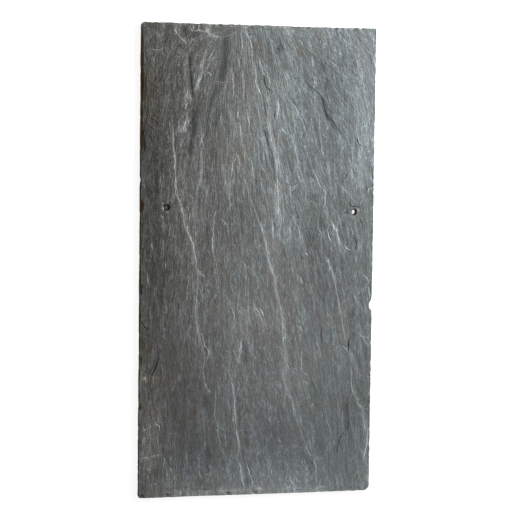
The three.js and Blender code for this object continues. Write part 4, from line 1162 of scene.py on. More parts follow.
def painted_swell_shading(x, y, swells, share=0.95):
    """Painted light and shade of the soft swells: how much paler or darker they leave each place."""
    tone = np.ones_like(x)
    for walk in swells:
        numbers, distance, shown = walk.near(x, y, 2.5 * walk.width)
        tone[numbers] *= 1 + share * walk.strength * shown * np.exp(-((distance / walk.width) ** 2))
    return tone


# ------------------------------------------------------------------ the dressed edges


def rim_distance(x, y):
    """How far in from the box each place lies."""
    return np.minimum(HALF_WIDTH - np.abs(x), HALF_LENGTH - np.abs(y))


def hole_distance(x, y):
    """How far from the middle of its nearest nail hole each place lies."""
    return np.min([np.hypot(x - hole_x, y - hole_y) for hole_x, hole_y in HOLES], axis=0)


class Rim:
    """Small nicks and scoops along one dressed edge, from a seeded draw."""

    CORNER = 5.0  # near a corner the nicks die out
    NICK_SPANS = (1.2, 4.2)
    SCOOP_SPANS = (1.6, 6.5)
    SCOOP_REACHES = (1.2, 4.2)

    def __init__(self, seed, half, spacing, nick, scoop):
        random = np.random.default_rng(seed)
        count = round(2 * half / spacing)
        self.half = half
        self.nicks = np.stack([
            random.uniform(-half, half, count),
            random.uniform(*self.NICK_SPANS, count),
            nick * random.uniform(0, 1, count) ** 1.3,
        ])
        self.scoops = np.stack([
            random.uniform(-half, half, count),
            random.uniform(*self.SCOOP_SPANS, count),
            random.uniform(*self.SCOOP_REACHES, count),
            scoop * random.uniform(0.15, 1, count) ** 1.5,
        ])

    def nick(self, along):
        """How far the outline lies inwards at each place along the edge."""
        place, span, depth = self.nicks[:, :, None]
        cut = (depth * np.clip(1 - np.abs(along - place) / span, 0, 1) ** 0.7).max(0)
        return cut * ramp(self.half - self.CORNER - np.abs(along), self.CORNER)

    def scoop(self, along, inwards):
        """How deep the scoops are at places along the edge and inwards from it."""
        cut = np.zeros_like(along)
        for place, span, reach, depth in self.scoops.T:
            near = np.flatnonzero((np.abs(along - place) < span) & (inwards < reach))
            left = 1 - ((along[near] - place) / span) ** 2 - (inwards[near] / reach) ** 2
            cut[near] = np.maximum(cut[near], depth * np.sqrt(np.maximum(left, 0)))
        return cut


def make_rims():
    """A rim for each edge: seed, half length, spacing, deepest nick and deepest scoop."""
    return {
        "left": Rim(11, HALF_LENGTH, 9.0, 0.5, 0.8),
        "right": Rim(12, HALF_LENGTH, 6.5, 0.55, 1.0),
        "tail": Rim(13, HALF_WIDTH, 7.0, 0.3, 0.25),
        "head": Rim(14, HALF_WIDTH, 3.0, 0.9, 0.8),
    }


def scooped(x, y, rims, share=None):
    """The deepest scoop at each place, each edge's scoops weighed by its share."""
    share = share or {}
    along_inwards = {
        "left": (y, x + HALF_WIDTH),
        "right": (y, HALF_WIDTH - x),
        "tail": (x, y + HALF_LENGTH),
        "head": (x, HALF_LENGTH - y),
    }
    return np.max([share.get(side, 1.0) * rims[side].scoop(*along_inwards[side]) for side in rims], axis=0)


# ------------------------------------------------------------------ the slab


class Stone:
    """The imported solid, measured by rays."""

    CORNER = 14.0  # near a corner the outline's rays run to a place this far in from both sides
    FAR = 40  # height from which an upright ray sets out
    SIDE_HEIGHT = 3.0  # the outline is taken at this height
    OUTSIDE = 10  # and its rays set out this far off the box

    def __init__(self, node):
        mesh = node.data
        corners = [vertex.co / MM for vertex in mesh.vertices]
        self.tree = BVHTree.FromPolygons(corners, [tuple(face.vertices) for face in mesh.polygons])

    def height(self, x, y, start=FAR, down=-1):
        """The height of the face, or None off the stone."""
        hit = self.tree.ray_cast(Vector((x, y, start)), Vector((0, 0, down)))[0]
        return None if hit is None else hit.z

    def depth(self, x, y):
        """The height of the bed, or None off the stone."""
        return self.height(x, y, -self.FAR, 1)

    def outline(self, x, y):
        """Where the side of the stone lies, looking in from a place on its bounding box."""
        core_x = min(max(x, self.CORNER - HALF_WIDTH), HALF_WIDTH - self.CORNER)
        core_y = min(max(y, self.CORNER - HALF_LENGTH), HALF_LENGTH - self.CORNER)
        inward = Vector((core_x - x, core_y - y, 0)).normalized()
        start = Vector((x, y, self.SIDE_HEIGHT)) - self.OUTSIDE * inward
        hit = self.tree.ray_cast(start, inward)[0]
        return (hit.x - x, hit.y - y)


def graded(low, high, gap, samples=8001):
    """Grid lines from low to high whose gaps follow gap(place)."""
    places = np.linspace(low, high, samples)
    density = 1.0 / gap(places)
    count = np.concatenate([[0.0], np.cumsum((density[1:] + density[:-1]) / 2 * np.diff(places))])
    return np.interp(np.linspace(0, count[-1], round(count[-1]) + 1), count, places)


def finer_near(places, marks, reach, fine, coarse, blend=8):
    """A gap between grid lines that is fine near the marks and coarse elsewhere."""
    nearest = np.min([np.abs(places - mark) for mark in marks], axis=0)
    return fine + (coarse - fine) * ramp(nearest - reach, blend)


def grid_lines(across_gap, along_gap):
    """The lines of the face's grid, finer at its borders and beside the nail holes."""
    sides = (-HALF_WIDTH, HALF_WIDTH)
    ends = (-HALF_LENGTH, HALF_LENGTH)
    holes = [place[1] for place in HOLES]

    def gap_along(places):
        by_ends = finer_near(places, ends, 5, 0.6, along_gap)
        return np.minimum(by_ends, finer_near(places, holes, 6, 0.9, along_gap))

    lines_x = graded(*sides, lambda places: finer_near(places, sides, 3, 0.55, across_gap))
    return lines_x, graded(*ends, gap_along)


def straighter(offsets, chip=1.4, share=0.3):
    """Offsets of an outline from its box: slight waves are flattened and deeper chips kept."""
    depth = np.hypot(*offsets.T)
    return offsets * np.clip(depth / chip, share, 1)[:, None]


def place_grid(stone, rims, lines_x, lines_y, side_pull=10, end_pull=18):
    """Bends a rectangular grid so that its border follows the stone's outline, with its nicks."""
    low_x, high_x, low_y, high_y = lines_x[0], lines_x[-1], lines_y[0], lines_y[-1]
    left = np.array([stone.outline(low_x, y) for y in lines_y])
    right = straighter(np.array([stone.outline(high_x, y) for y in lines_y]))
    tail = straighter(np.array([stone.outline(x, low_y) for x in lines_x]))
    head = straighter(np.array([stone.outline(x, high_y) for x in lines_x]))
    left[:, 0] += rims["left"].nick(lines_y)
    right[:, 0] -= rims["right"].nick(lines_y)
    tail[:, 1] += rims["tail"].nick(lines_x)
    head[:, 1] -= rims["head"].nick(lines_x)
    u = ((lines_x - low_x) / (high_x - low_x))[None, :, None]
    v = ((lines_y - low_y) / (high_y - low_y))[:, None, None]
    pull_left, pull_right = (1 - u) ** side_pull, u**side_pull
    pull_tail, pull_head = (1 - v) ** end_pull, v**end_pull
    shift = pull_left * left[:, None] + pull_right * right[:, None]
    shift = shift + pull_tail * tail[None] + pull_head * head[None]
    shift = shift - pull_left * pull_tail * tail[0] - pull_right * pull_tail * tail[-1]
    shift = shift - pull_left * pull_head * head[0] - pull_right * pull_head * head[-1]
    flat = np.stack(np.meshgrid(lines_x, lines_y), -1)
    return np.clip(flat + shift, np.array(LOW.xy) / MM + BOX_MARGIN, np.array(HIGH.xy) / MM - BOX_MARGIN)


def measured(probe, places, missing):
    """Heights by ray for a grid of places."""
    heights = [probe(x, y) for x, y in places.reshape(-1, 2)]
    return np.array([missing if z is None else z for z in heights]).reshape(places.shape[:2])


def worn_arris(rows, columns):
    """How far wear has lowered each place of the grid: the border alone, from a seeded draw."""
    worn = np.zeros((rows, columns))
    for places in (worn[0], worn[-1], worn[:, 0], worn[:, -1]):
        places += ARRIS_WEAR * np.random.default_rng(places.size).uniform(0.3, 1.0, places.size) ** 1.5
    return worn


def face_grid(stone, rims, across_gap, along_gap):
    """The places of the face's points, with the wear of its border and the scoops."""
    places = place_grid(stone, rims, *grid_lines(across_gap, along_gap))
    lowest = np.array([ARRIS_REACH - HALF_WIDTH, TAIL_REACH - HALF_LENGTH])
    highest = np.array([HALF_WIDTH, HALF_LENGTH]) - ARRIS_REACH
    heights = measured(stone.height, np.clip(places, lowest, highest), MISSED_FACE)
    cut = scooped(places[..., 0].ravel(), places[..., 1].ravel(), rims).reshape(heights.shape)
    cut = np.maximum(cut, worn_arris(*heights.shape))
    return np.dstack([places, np.maximum(heights - cut, LOWEST_FACE)])


class Sheet:
    """Collects the points, with what they belong to, and the faces of a closed sheet of stone."""

    def __init__(self, face):
        self.face = face
        self.rows, self.columns = face.shape[:2]
        self.points = []
        self.kinds = []
        self.polygons = []

    def add_points(self, points, kind):
        """Adds points of one kind and gives their numbers."""
        first = len(self.points)
        self.points += points
        self.kinds += [kind] * len(points)
        return range(first, len(self.points))

    def add_face(self):
        self.add_points([tuple(point) for point in self.face.reshape(-1, 3)], ON_FACE)
        for j in range(self.rows - 1):
            for i in range(self.columns - 1):
                a = j * self.columns + i
                b, c, d = a + 1, a + self.columns + 1, a + self.columns
                self.polygons += [(a, b, d), (b, c, d)]

    def ring(self):
        """The border places of the grid, walked anticlockwise from its first corner."""
        right, top = self.columns - 1, self.rows - 1
        places = [(0, i) for i in range(right + 1)]
        places += [(j, right) for j in range(1, top + 1)]
        places += [(top, i) for i in range(right - 1, -1, -1)]
        return places + [(j, 0) for j in range(top - 1, 0, -1)]

    def add_sides(self, layers=6):
        """Hangs layered sides from the border and gives each border place its lowest point."""
        ring = self.ring()
        above = [j * self.columns + i for j, i in ring]
        for layer in range(1, layers + 1):
            share = 1 - layer / layers
            corners = [self.face[place] for place in ring]
            below = self.add_points([(x, y, z * share) for x, y, z in corners], ON_SIDE)
            for k in range(len(ring)):
                n = (k + 1) % len(ring)
                self.polygons.append((above[k], below[k], below[n], above[n]))
            above = below
        return dict(zip(ring, above))

    def add_bed(self, heights, under, skip=4):
        """Closes the sheet with a coarser grid that takes in every lowest point of the sides."""
        right, top = self.columns - 1, self.rows - 1
        coarse_i = sorted({*range(0, right, skip), right})
        coarse_j = sorted({*range(0, top, skip), top})
        inner = [(j, i) for j in coarse_j[1:-1] for i in coarse_i[1:-1]]
        points = [(*self.face[place][:2], heights[place]) for place in inner]
        under.update(zip(inner, self.add_points(points, ON_BED)))
        for j0, j1 in zip(coarse_j, coarse_j[1:]):
            for i0, i1 in zip(coarse_i, coarse_i[1:]):
                walk = [(j0, i) for i in (range(i0, i1) if j0 == 0 else (i0,))]
                walk += [(j, i1) for j in (range(j0, j1) if i1 == right else (j0,))]
                walk += [(j1, i) for i in (range(i1, i0, -1) if j1 == top else (i1,))]
                walk += [(j, i0) for j in (range(j1, j0, -1) if i0 == 0 else (j1,))]
                self.polygons.append(tuple(under[place] for place in reversed(walk)))

    def mesh(self, name):
        made = bpy.data.meshes.new(name)
        made.from_pydata([tuple(c * MM for c in point) for point in self.points], [], self.polygons)
        made.update()
        add_attribute(made, "kind", "FLOAT", np.array(self.kinds))
        return made


def build_slab(stone, rims, across_gap, along_gap):
    """A closed sheet of stone: fine face, layered sides and a coarser bed."""
    face = face_grid(stone, rims, across_gap, along_gap)
    sheet = Sheet(face)
    sheet.add_face()
    under = sheet.add_sides()
    sheet.add_bed(measured(stone.depth, face[..., :2], 0.0), under)
    return sheet.mesh("slate")


def add_attribute(mesh, name, kind, values):
    """Stores one value for each point of a mesh."""
    layer = mesh.attributes.get(name) or mesh.attributes.new(name, kind, "POINT")
    field = "vector" if kind == "FLOAT_VECTOR" else "value"
    layer.data.foreach_set(field, np.ravel(values).astype(np.float32))


def read_points(mesh, field="co"):
    """The points of a mesh, in metres, or their normals."""
    flat = np.empty(len(mesh.vertices) * 3, dtype=np.float32)
    mesh.vertices.foreach_get(field, flat)
    return flat.reshape(-1, 3)


def read_places(mesh):
    """Across, along and height of each point of a mesh."""
    return (read_points(mesh).astype(float) / MM).T


def add_grain(mesh):
    """Stores where each point lies across and along the grain, in metres."""
    x, y, z = read_places(mesh)
    add_attribute(mesh, "grain", "FLOAT_VECTOR", np.stack([grain_lines(x, y), y, z], 1) * MM)


def add_carving(mesh, walks, swells, border=2.5, bore=3, beside=8, least=0.15):
    """Stores how much room each point has for relief, and how deep its steps and swells go.

    The room shrinks to nothing over the border, and to its least beside the bores.
    """
    x, y, _ = read_places(mesh)
    room = ramp(rim_distance(x, y), border) * np.clip((hole_distance(x, y) - bore) / beside, least, 1)
    add_attribute(mesh, "room", "FLOAT", room)
    carve = step_relief(x, y, walks) + swell_relief(x, y, swells)
    add_attribute(mesh, "carve", "FLOAT", carve * MM)


# ------------------------------------------------------------------ the riven relief

LEVEL_SHARE = 0.3  # share of the sheets' whole drop


def new_geometry_tree(name, inputs):
    """A geometry tree with named inputs; gives the tree and its graph."""
    tree = bpy.data.node_groups.new(name, "GeometryNodeTree")
    tree.interface.new_socket("Geometry", in_out="INPUT", socket_type="NodeSocketGeometry")
    for label, kind in inputs:
        tree.interface.new_socket(label, in_out="INPUT", socket_type=kind)
    tree.interface.new_socket("Geometry", in_out="OUTPUT", socket_type="NodeSocketGeometry")
    return tree, Graph(tree)


def relief_tree():
    """Carves cleaved sheets and fine grain into the face and bed, and layers into the sides."""
    inputs = [(label, "NodeSocketFloat") for label in (*RELIEF_SIZES, "Seed")]
    tree, g = new_geometry_tree("Riven Relief", [*inputs, ("Material", "NodeSocketMaterial")])
    source = g.node("NodeGroupInput")
    given = {socket.name: Socket(g, socket) for socket in source.socket.node.outputs if socket.name}

    def attribute(name, kind="FLOAT"):
        return g.node("GeometryNodeInputNamedAttribute", {"data_type": kind}, {"Name": name})

    across, along, _ = g.split(attribute("grain", "FLOAT_VECTOR"))
    kind = attribute("kind")
    seed = given["Seed"]

    # the sheets: terraces of a broad noise, level where they would drop by less than LEVEL_SHARE
    sheets, slope = 7.0, 0.16
    sheet_place = g.vector(across / given["Sheet Width"], along / given["Sheet Length"], seed)
    swell = g.noise(sheet_place, detail=4.0, roughness=0.6, warp=0.4)
    terrace, _ = g.terraced(swell, sheets, slope)
    grain_place = g.vector(across / given["Grain Width"], along / given["Grain Length"], seed + 4.0)
    grain = g.noise(grain_place, detail=4.0, roughness=0.62, warp=0.3)
    sunk = (1.0 - terrace) * given["Sheet Depth"] * sheets + (1.0 - grain) * given["Grain Depth"]
    sunk = g.most(sunk - given["Sheet Depth"] * sheets * LEVEL_SHARE, 0.0)
    rise = (sunk + attribute("carve")) * kind * attribute("room") * -1.0

    # the sides: thin level layers, pushed inwards
    layer_length, layer_height = 0.009, 0.0009
    x, y, z = g.split(g.node("GeometryNodeInputPosition"))
    layer_place = g.vector(x / layer_length, y / layer_length, z / layer_height)
    layer = g.noise(layer_place, roughness=0.6) ** 2.0 * given["Layer Depth"]
    side = (1.0 - g.size(kind)) * layer * -1.0
    normal = g.node("GeometryNodeInputNormal")
    inward = g.vector_maths("SCALE", {"Vector": normal, "Scale": side})
    flat = g.vector_maths("MULTIPLY", {0: inward, 1: (1.0, 1.0, 0.0)})
    offset = g.vector_maths("ADD", {0: flat, 1: g.vector(0.0, 0.0, rise)})

    moved = g.node("GeometryNodeSetPosition", {}, {"Geometry": given["Geometry"], "Offset": offset})
    kept = g.node(
        "GeometryNodeStoreNamedAttribute",
        {"data_type": "FLOAT", "domain": "POINT"},
        {"Geometry": moved, "Name": "sheet", "Value": terrace},
    )
    solid = g.node("GeometryNodeRealizeInstances", {}, {"Geometry": kept})
    done = g.node("GeometryNodeSetMaterial", {}, {"Geometry": solid, "Material": given["Material"]})
    target = tree.nodes.new("NodeGroupOutput")
    tree.links.new(done.socket, target.inputs["Geometry"])
    return tree


def apply_tree(piece, tree, values):
    """Runs a geometry tree on a piece and keeps the result as its plain mesh."""
    modifier = piece.modifiers.new(tree.name, "NODES")
    modifier.node_group = tree
    for item in tree.interface.items_tree:
        if item.item_type == "SOCKET" and item.in_out == "INPUT" and item.name in values:
            modifier[item.identifier] = values[item.name]
    keep_result(piece)


def keep_result(piece):
    """Bakes a piece's modifiers into a plain mesh and removes them."""
    graph = bpy.context.evaluated_depsgraph_get()
    graph.update()
    mesh = bpy.data.meshes.new_from_object(
        piece.evaluated_get(graph), preserve_all_data_layers=True, depsgraph=graph
    )
    mesh.name = piece.name
    piece.modifiers.clear()
    piece.data = mesh


# ------------------------------------------------------------------ materials


def new_material(name):
    """A material with an empty tree, a Principled shader and an output."""
    material = bpy.data.materials.new(name)
    material.use_nodes = True
    tree = material.node_tree
    tree.nodes.clear()
    shader = tree.nodes.new("ShaderNodeBsdfPrincipled")
    output = tree.nodes.new("ShaderNodeOutputMaterial")
    tree.links.new(shader.outputs["BSDF"], output.inputs["Surface"])
    return material, shader, Graph(tree)


def feed(graph, shader, name, value):
    graph.tree.links.new(value.socket, shader.inputs[name])


class SlateLook:
    """The colour and the fine relief of riven slate, built up in one shader graph."""

    def __init__(self, graph, settings, line_layers):
        self.g = graph
        self.settings = settings
        self.line_layers = line_layers
        # the bruised colour of seams and threads also stands for painted highlight on their lit steps
        self.bruise_and_highlight = opaque(settings.bruise_and_highlight_colour)
        self.place = graph.node("ShaderNodeTexCoord", {}, {}, out=3)
        self.broken, self.rough, self.sweep = map(self.attribute, ("broken", "rough", "sweep"))
        self.follow_grain()
        self.lay_streaks()
        self.lay_sheets()
        self.threads = self.draw_threads()
        self.dark, self.pale, self.lip = self.draw_lines()
        # rust, darkened as painted shade on the left side and in the bores
        self.rust_and_shade = graph.step(self.attribute("stain_and_shade") * (0.5 + self.middle), 0.25, 0.75)

    def attribute(self, name, out="Fac"):
        made = self.g.node("ShaderNodeAttribute", {"attribute_name": name})
        return Socket(self.g, made.socket.node.outputs[out])

    def follow_grain(self):
        """Finds each place across and along the grain, both with a slight wander."""
        g = self.g
        across, along, self.height = g.split(self.attribute("grain", "Vector"))
        wander = g.noise(g.vector(across / 0.014, along / 0.034, 1.7), detail=2.0)
        self.kink = g.split(g.noise(self.place, scale=150.0, roughness=0.6, out=1))
        self.across = across + (wander - 0.5) * 0.007
        self.kinked = self.across + (self.kink[0] - 0.5) * 0.005
        self.along = along + (self.kink[1] - 0.5) * 0.007

    def streak(self, width, length, offset, detail=3.0, roughness=0.6, warp=0.2, kinked=False):
        """Noise drawn out along the grain; sizes in metres."""
        side = self.kinked if kinked else self.across
        place = self.g.vector(side / width, self.along / length, self.height / width + offset)
        return self.g.noise(place, detail=detail, roughness=roughness, warp=warp)

    def thread(self, noise, reach):
        """A thin ragged line where a noise passes its middle."""
        return 1.0 - self.g.step(self.g.size(noise - 0.5), reach * 0.2, reach)

    def lay_streaks(self):
        """The noises that the look is mixed from."""
        g = self.g
        self.broad = self.streak(0.016, 0.06, 3.1)
        self.veil = self.streak(0.007, 0.016, 41.0)
        self.middle = self.streak(0.0048, 0.022, 7.7, detail=4.0, roughness=0.62, warp=0.3)
        self.fine = self.streak(0.0013, 0.0075, 12.3, detail=4.0, roughness=0.72, warp=0.4, kinked=True)
        self.fibre = self.streak(0.0026, 0.022, 15.9, detail=2.0, roughness=0.5, warp=0.0)
        self.long_fibre = self.streak(0.0034, 0.05, 55.0, detail=2.0, roughness=0.5, warp=0.0)
        self.grit = g.noise(self.place, scale=620.0, detail=2.0, roughness=0.85)
        self.jag = g.noise(self.place, scale=260.0, detail=2.0, roughness=0.5)
        self.mottle = g.noise(self.place, scale=140.0, roughness=0.6)
        self.film = g.noise(self.place, scale=45.0, detail=2.0)

    def lay_sheets(self):
        """Plates and flakes along the grain, and slanting streaks where the cleavage sweeps aside."""
        plates = self.streak(0.019, 0.085, 17.0, detail=6.0, roughness=0.55, warp=0.3, kinked=True)
        flakes = self.streak(0.0065, 0.026, 31.0, detail=5.0, warp=0.3, kinked=True)
        self.plates, self.plate_shade = self.shaded_terraces(plates, 12.0, 0.14)
        self.flakes, self.flake_shade = self.shaded_terraces(flakes, 9.0, 0.2)
        g = self.g
        right, up, _ = g.split(self.place)
        slant_place = g.vector(
            (right * 0.643 + up * 0.766 + (self.kink[0] - 0.5) * 0.005) / 0.0042,
            (right * 0.766 - up * 0.643 + (self.kink[1] - 0.5) * 0.008) / 0.036,
            5.0,
        )
        self.slant = (g.noise(slant_place, detail=6.0, roughness=0.6, warp=0.3) - 0.5) * self.sweep

    def shaded_terraces(self, noise, steps, slope):
        """A noise cut into terraces, and a random shade round 0 for each of them."""
        terraces, whole = self.g.terraced(noise, steps, slope)
        shade = self.g.node("ShaderNodeTexWhiteNoise", {"noise_dimensions": "1D"}, {"W": whole})
        return terraces, shade - 0.5

    def draw_threads(self):
        """Many thin pale threads, where small seams run: crushed stone, and painted highlights of their lit
        steps.
        """
        g = self.g
        long_thread = self.thread(self.streak(0.0058, 0.042, 21.0, detail=6.0, roughness=0.58), 0.015)
        short_thread = self.thread(self.streak(0.0034, 0.02, 27.0, detail=5.0, roughness=0.62), 0.025)
        hair = self.thread(self.streak(0.0046, 0.026, 63.0, detail=5.0, warp=0.4, kinked=True), 0.007)
        shown = g.step(self.broad * 0.5 + self.middle * 0.5, 0.38, 0.62)
        threads = g.most(long_thread * shown, short_thread * g.step(self.fine, 0.4, 0.65) * 0.7)
        threads = g.most(threads, hair * g.step(self.veil, 0.42, 0.6))
        return threads * self.rough * (1.0 - self.broken * 0.6)

    def draw_lines(self):
        """How dark the cracks' painted shadow and how pale the seams are, with their painted highlight, and
        the shade of the lip beside each.
        """
        g = self.g
        dark, pale, lip = 0.0, 0.0, 0.0
        ragged = g.mixed((self.kink[2], 4.6), (self.jag, 1.8), (self.fine, 0.4), (self.grit, 0.3))
        patchy = g.step(self.middle * 0.5 + self.veil * 0.5, 0.38, 0.6, 0.45, 1.5)
        for k in range(self.line_layers):
            distance, strength, width = g.split(self.attribute(f"lines_{k}", "Vector"))
            distance = distance + ragged * g.step(strength, -0.1, 0.0, 0.3, 1.0)
            gap = g.size(distance) / width
            line = (1.0 - g.step(gap, 0.1, 0.5)) * patchy
            dust = (1.0 - g.step(gap, 0.5, 2.4)) * g.step(self.fine, 0.44, 0.68) * 0.16
            pale = g.most(g.most(line, dust) * strength, pale)
            dark = g.most(line * strength * -1.0, dark)
            beside = 1.0 - g.step(g.size(distance), 0.6, 3.0)
            lip = lip + g.step(distance, -0.7, 0.7, 0.5, -0.5) * beside * strength
        return dark, pale, lip

    def streaked(self):
        """The stone's grey, streaked from shade to pale."""
        g = self.g
        busy = g.step(self.veil * 0.6 + self.broad * 0.4, 0.38, 0.62, 0.55, 1.4)
        streaks = g.mixed((self.middle, 0.38), (self.fibre, 0.3), (self.long_fibre, 0.36), (self.fine, 0.74))
        light = streaks * busy * (1.0 - self.sweep * 0.6)
        sheet = self.attribute("sheet")
        light = light + g.mixed((self.broad, 0.85), (self.grit, 1.5), (self.mottle, 0.35), (sheet, 0.2))
        light = light + self.slant * 1.1 + self.plate_shade * 0.14 + self.flake_shade * 0.1 - 0.03
        colours = (self.settings.shade_colour, self.settings.stone_colour, self.settings.pale_colour)
        return g.colour_ramp(light * self.rough * 0.5 + 0.5, *colours)

    def tinted(self, colour):
        """Turns a colour cooler or warmer, bluer or yellower, and then paler or darker, partly as painted
        light and shade.
        """
        g = self.g
        warmth = self.attribute("warm") + g.mixed((self.mottle, 0.9), (self.film, 1.0))
        warmth = warmth + self.plate_shade * 0.4
        tint = g.blend(warmth, opaque(self.settings.cool_tint), opaque(self.settings.warm_tint))
        colour = g.blend(1.0, colour, tint, "MULTIPLY")
        violet = self.attribute("violet") + g.mixed((self.veil, 9.0), (self.broad, 8.0))
        violet = violet + self.flake_shade * 0.8
        colour = g.blend(1.0, colour, g.vector(1.0, 1.0, violet * 0.02 + 1.0), "MULTIPLY")
        return g.vector_maths("SCALE", {"Vector": colour, "Scale": self.attribute("tone")})

    def chipped(self, colour):
        """Adds fresh chips on the broken edges and a few pale specks."""
        g = self.g
        voronoi = {"Vector": self.place, "Scale": 60.0}
        cells = g.node("ShaderNodeTexVoronoi", {"voronoi_dimensions": "2D"}, voronoi)
        chance, _, _ = g.split(Socket(g, cells.socket.node.outputs["Color"]))
        speck = (1.0 - g.step(cells, 0.02, 0.05)) * g.step(chance, 0.8, 0.82)
        texture = self.middle * 0.8 + self.grit * 0.6 + self.flakes * 0.6
        chip = g.step(self.broken * texture, 0.45, 0.75)
        return g.blend(g.most(speck, chip), colour, opaque(self.settings.chip_tint), "MULTIPLY")

    def colour(self):
        """The streaked stone with its threads, tints, seams, chips and stains, with painted highlights and
        painted shade among them.
        """
        g, settings = self.g, self.settings
        # seams and threads are paled with bruised stone and painted highlight
        colour = self.tinted(g.blend(self.threads * 0.52, self.streaked(), self.bruise_and_highlight))
        colour = self.chipped(g.blend(g.least(self.pale, 1.0), colour, self.bruise_and_highlight))
        # the dark film by the left edge: stain and painted shade
        colour = g.blend(self.attribute("olive_and_shade"), colour, opaque(settings.olive_and_shade_tint), "MULTIPLY")
        # rust, with painted shade on the left side and in the bores
        colour = g.blend(self.rust_and_shade * 0.95, colour, opaque(settings.rust_and_shade_colour))
        # painted shadow in the cracks
        colour = g.blend(g.least(self.dark, 1.0) * 0.85, colour, opaque(settings.crack_shadow_colour))
        # the bores' walls: rust, and painted shade where the walls lie in shadow
        return g.blend(self.attribute("bore_rust_and_shade") * 0.9, colour, opaque(settings.bore_rust_and_shade_colour))

    def roughness(self):
        return self.g.step(self.fine, 0.3, 0.7, 0.62, 0.8) + self.rust_and_shade * 0.1

    def normal(self):
        """The relief that is too fine for the mesh."""
        relief = self.middle * 0.9 + self.fine * 0.5 + self.fibre * 0.6 + self.grit * 0.2
        relief = (relief + self.plates * 2.4 + self.flakes * 1.4 + self.slant * 2.0) * self.rough
        relief = relief + self.threads * 0.05 - self.dark * 0.5 + self.lip * 0.25
        values = {"Strength": 0.75, "Distance": 0.0011, "Height": relief}
        return self.g.node("ShaderNodeBump", {}, values)


def slate_material(settings, line_layers):
    """Riven slate: streaked along the grain, bruised pale on broken edges, rusty on the left side, with
    painted highlights on seams and painted shade in cracks, bores and on the left side.
    """
    material, shader, g = new_material("Riven Slate")
    look = SlateLook(g, settings, line_layers)
    shader.inputs["Specular IOR Level"].default_value = 0.2
    feed(g, shader, "Base Color", look.colour())
    feed(g, shader, "Roughness", look.roughness())
    feed(g, shader, "Normal", look.normal())
    return material


def dirt_material(settings):
    """Dried roof dirt."""
    material, shader, g = new_material("Dried Dirt")
    place = g.node("ShaderNodeTexCoord", {}, {}, out=3)
    grit = g.noise(place, scale=1400.0, detail=4.0, roughness=0.7)
    dark = [0.45 * part for part in settings.dirt_colour]
    colour = g.blend(g.step(grit, 0.35, 0.65), opaque(dark), opaque(settings.dirt_colour))
    feed(g, shader, "Base Color", colour)
    shader.inputs["Roughness"].default_value = 0.95
    bumped = g.node("ShaderNodeBump", {}, {"Strength": 0.6, "Distance": 0.0005, "Height": grit})
    feed(g, shader, "Normal", bumped)
    return material


def floor_material(settings):
    """A plain pale floor that glows a little, as a light table does."""
    material, shader, _ = new_material("Pale Floor")
    shader.inputs["Base Color"].default_value = opaque((settings.floor_colour,) * 3)
    shader.inputs["Roughness"].default_value = 0.9
    shader.inputs["Emission Color"].default_value = (1.0, 1.0, 1.0, 1.0)
    shader.inputs["Emission Strength"].default_value = settings.floor_glow
    return material


# ------------------------------------------------------------------ pieces


def add_piece(name, mesh):
    piece = bpy.data.objects.new(name, mesh)
    bpy.context.scene.collection.objects.link(piece)
    return piece


def round_steps(turns):
    """Each corner of a ring with the next one."""
    return [(k, (k + 1) % turns) for k in range(turns)]


def bore_cutter(place, turns=36, rings=14, waves=(0.02, 0.07), grit=0.05):
    """A rough-walled rod to cut one nail hole with; it sticks out of the stone at both ends."""
    random = np.random.default_rng(int(abs(place[0])))
    swing = np.linspace(0, 2 * math.pi, turns, endpoint=False)
    wobble = sum(random.uniform(*waves) * np.cos(k * swing + random.uniform(0, 6.28)) for k in range(2, 8))
    points = []
    for z in np.linspace(-2, FACE + 3, rings):
        flare = min(max((z - BORE_FLARE[0]) / BORE_FLARE[1], 0), 1) - BORE_ROUGHNESS
        radius = BORE_RADIUS + flare + wobble + grit * random.standard_normal(turns)
        points += [
            ((place[0] + r * math.cos(a)) * MM, (place[1] + r * math.sin(a)) * MM, z * MM)
            for r, a in zip(radius, swing)
        ]
    faces = [tuple(reversed(range(turns))), tuple(range((rings - 1) * turns, rings * turns))]
    for first in range(0, (rings - 1) * turns, turns):
        faces += [(first + k, first + n, first + n + turns, first + k + turns) for k, n in round_steps(turns)]
    mesh = bpy.data.meshes.new("cutter")
    mesh.from_pydata(points, [], faces)
    return add_piece("cutter", mesh)


def cut_holes(piece):
    """Cuts both nail holes and keeps the result."""
    cutters = [bore_cutter(place) for place in HOLES]
    for cutter in cutters:
        modifier = piece.modifiers.new("Nail Hole", "BOOLEAN")
        modifier.object = cutter
        modifier.operation = "DIFFERENCE"
        modifier.solver = "EXACT"
    keep_result(piece)
    for cutter in cutters:
        mesh = cutter.data
        bpy.data.objects.remove(cutter)
        bpy.data.meshes.remove(mesh)


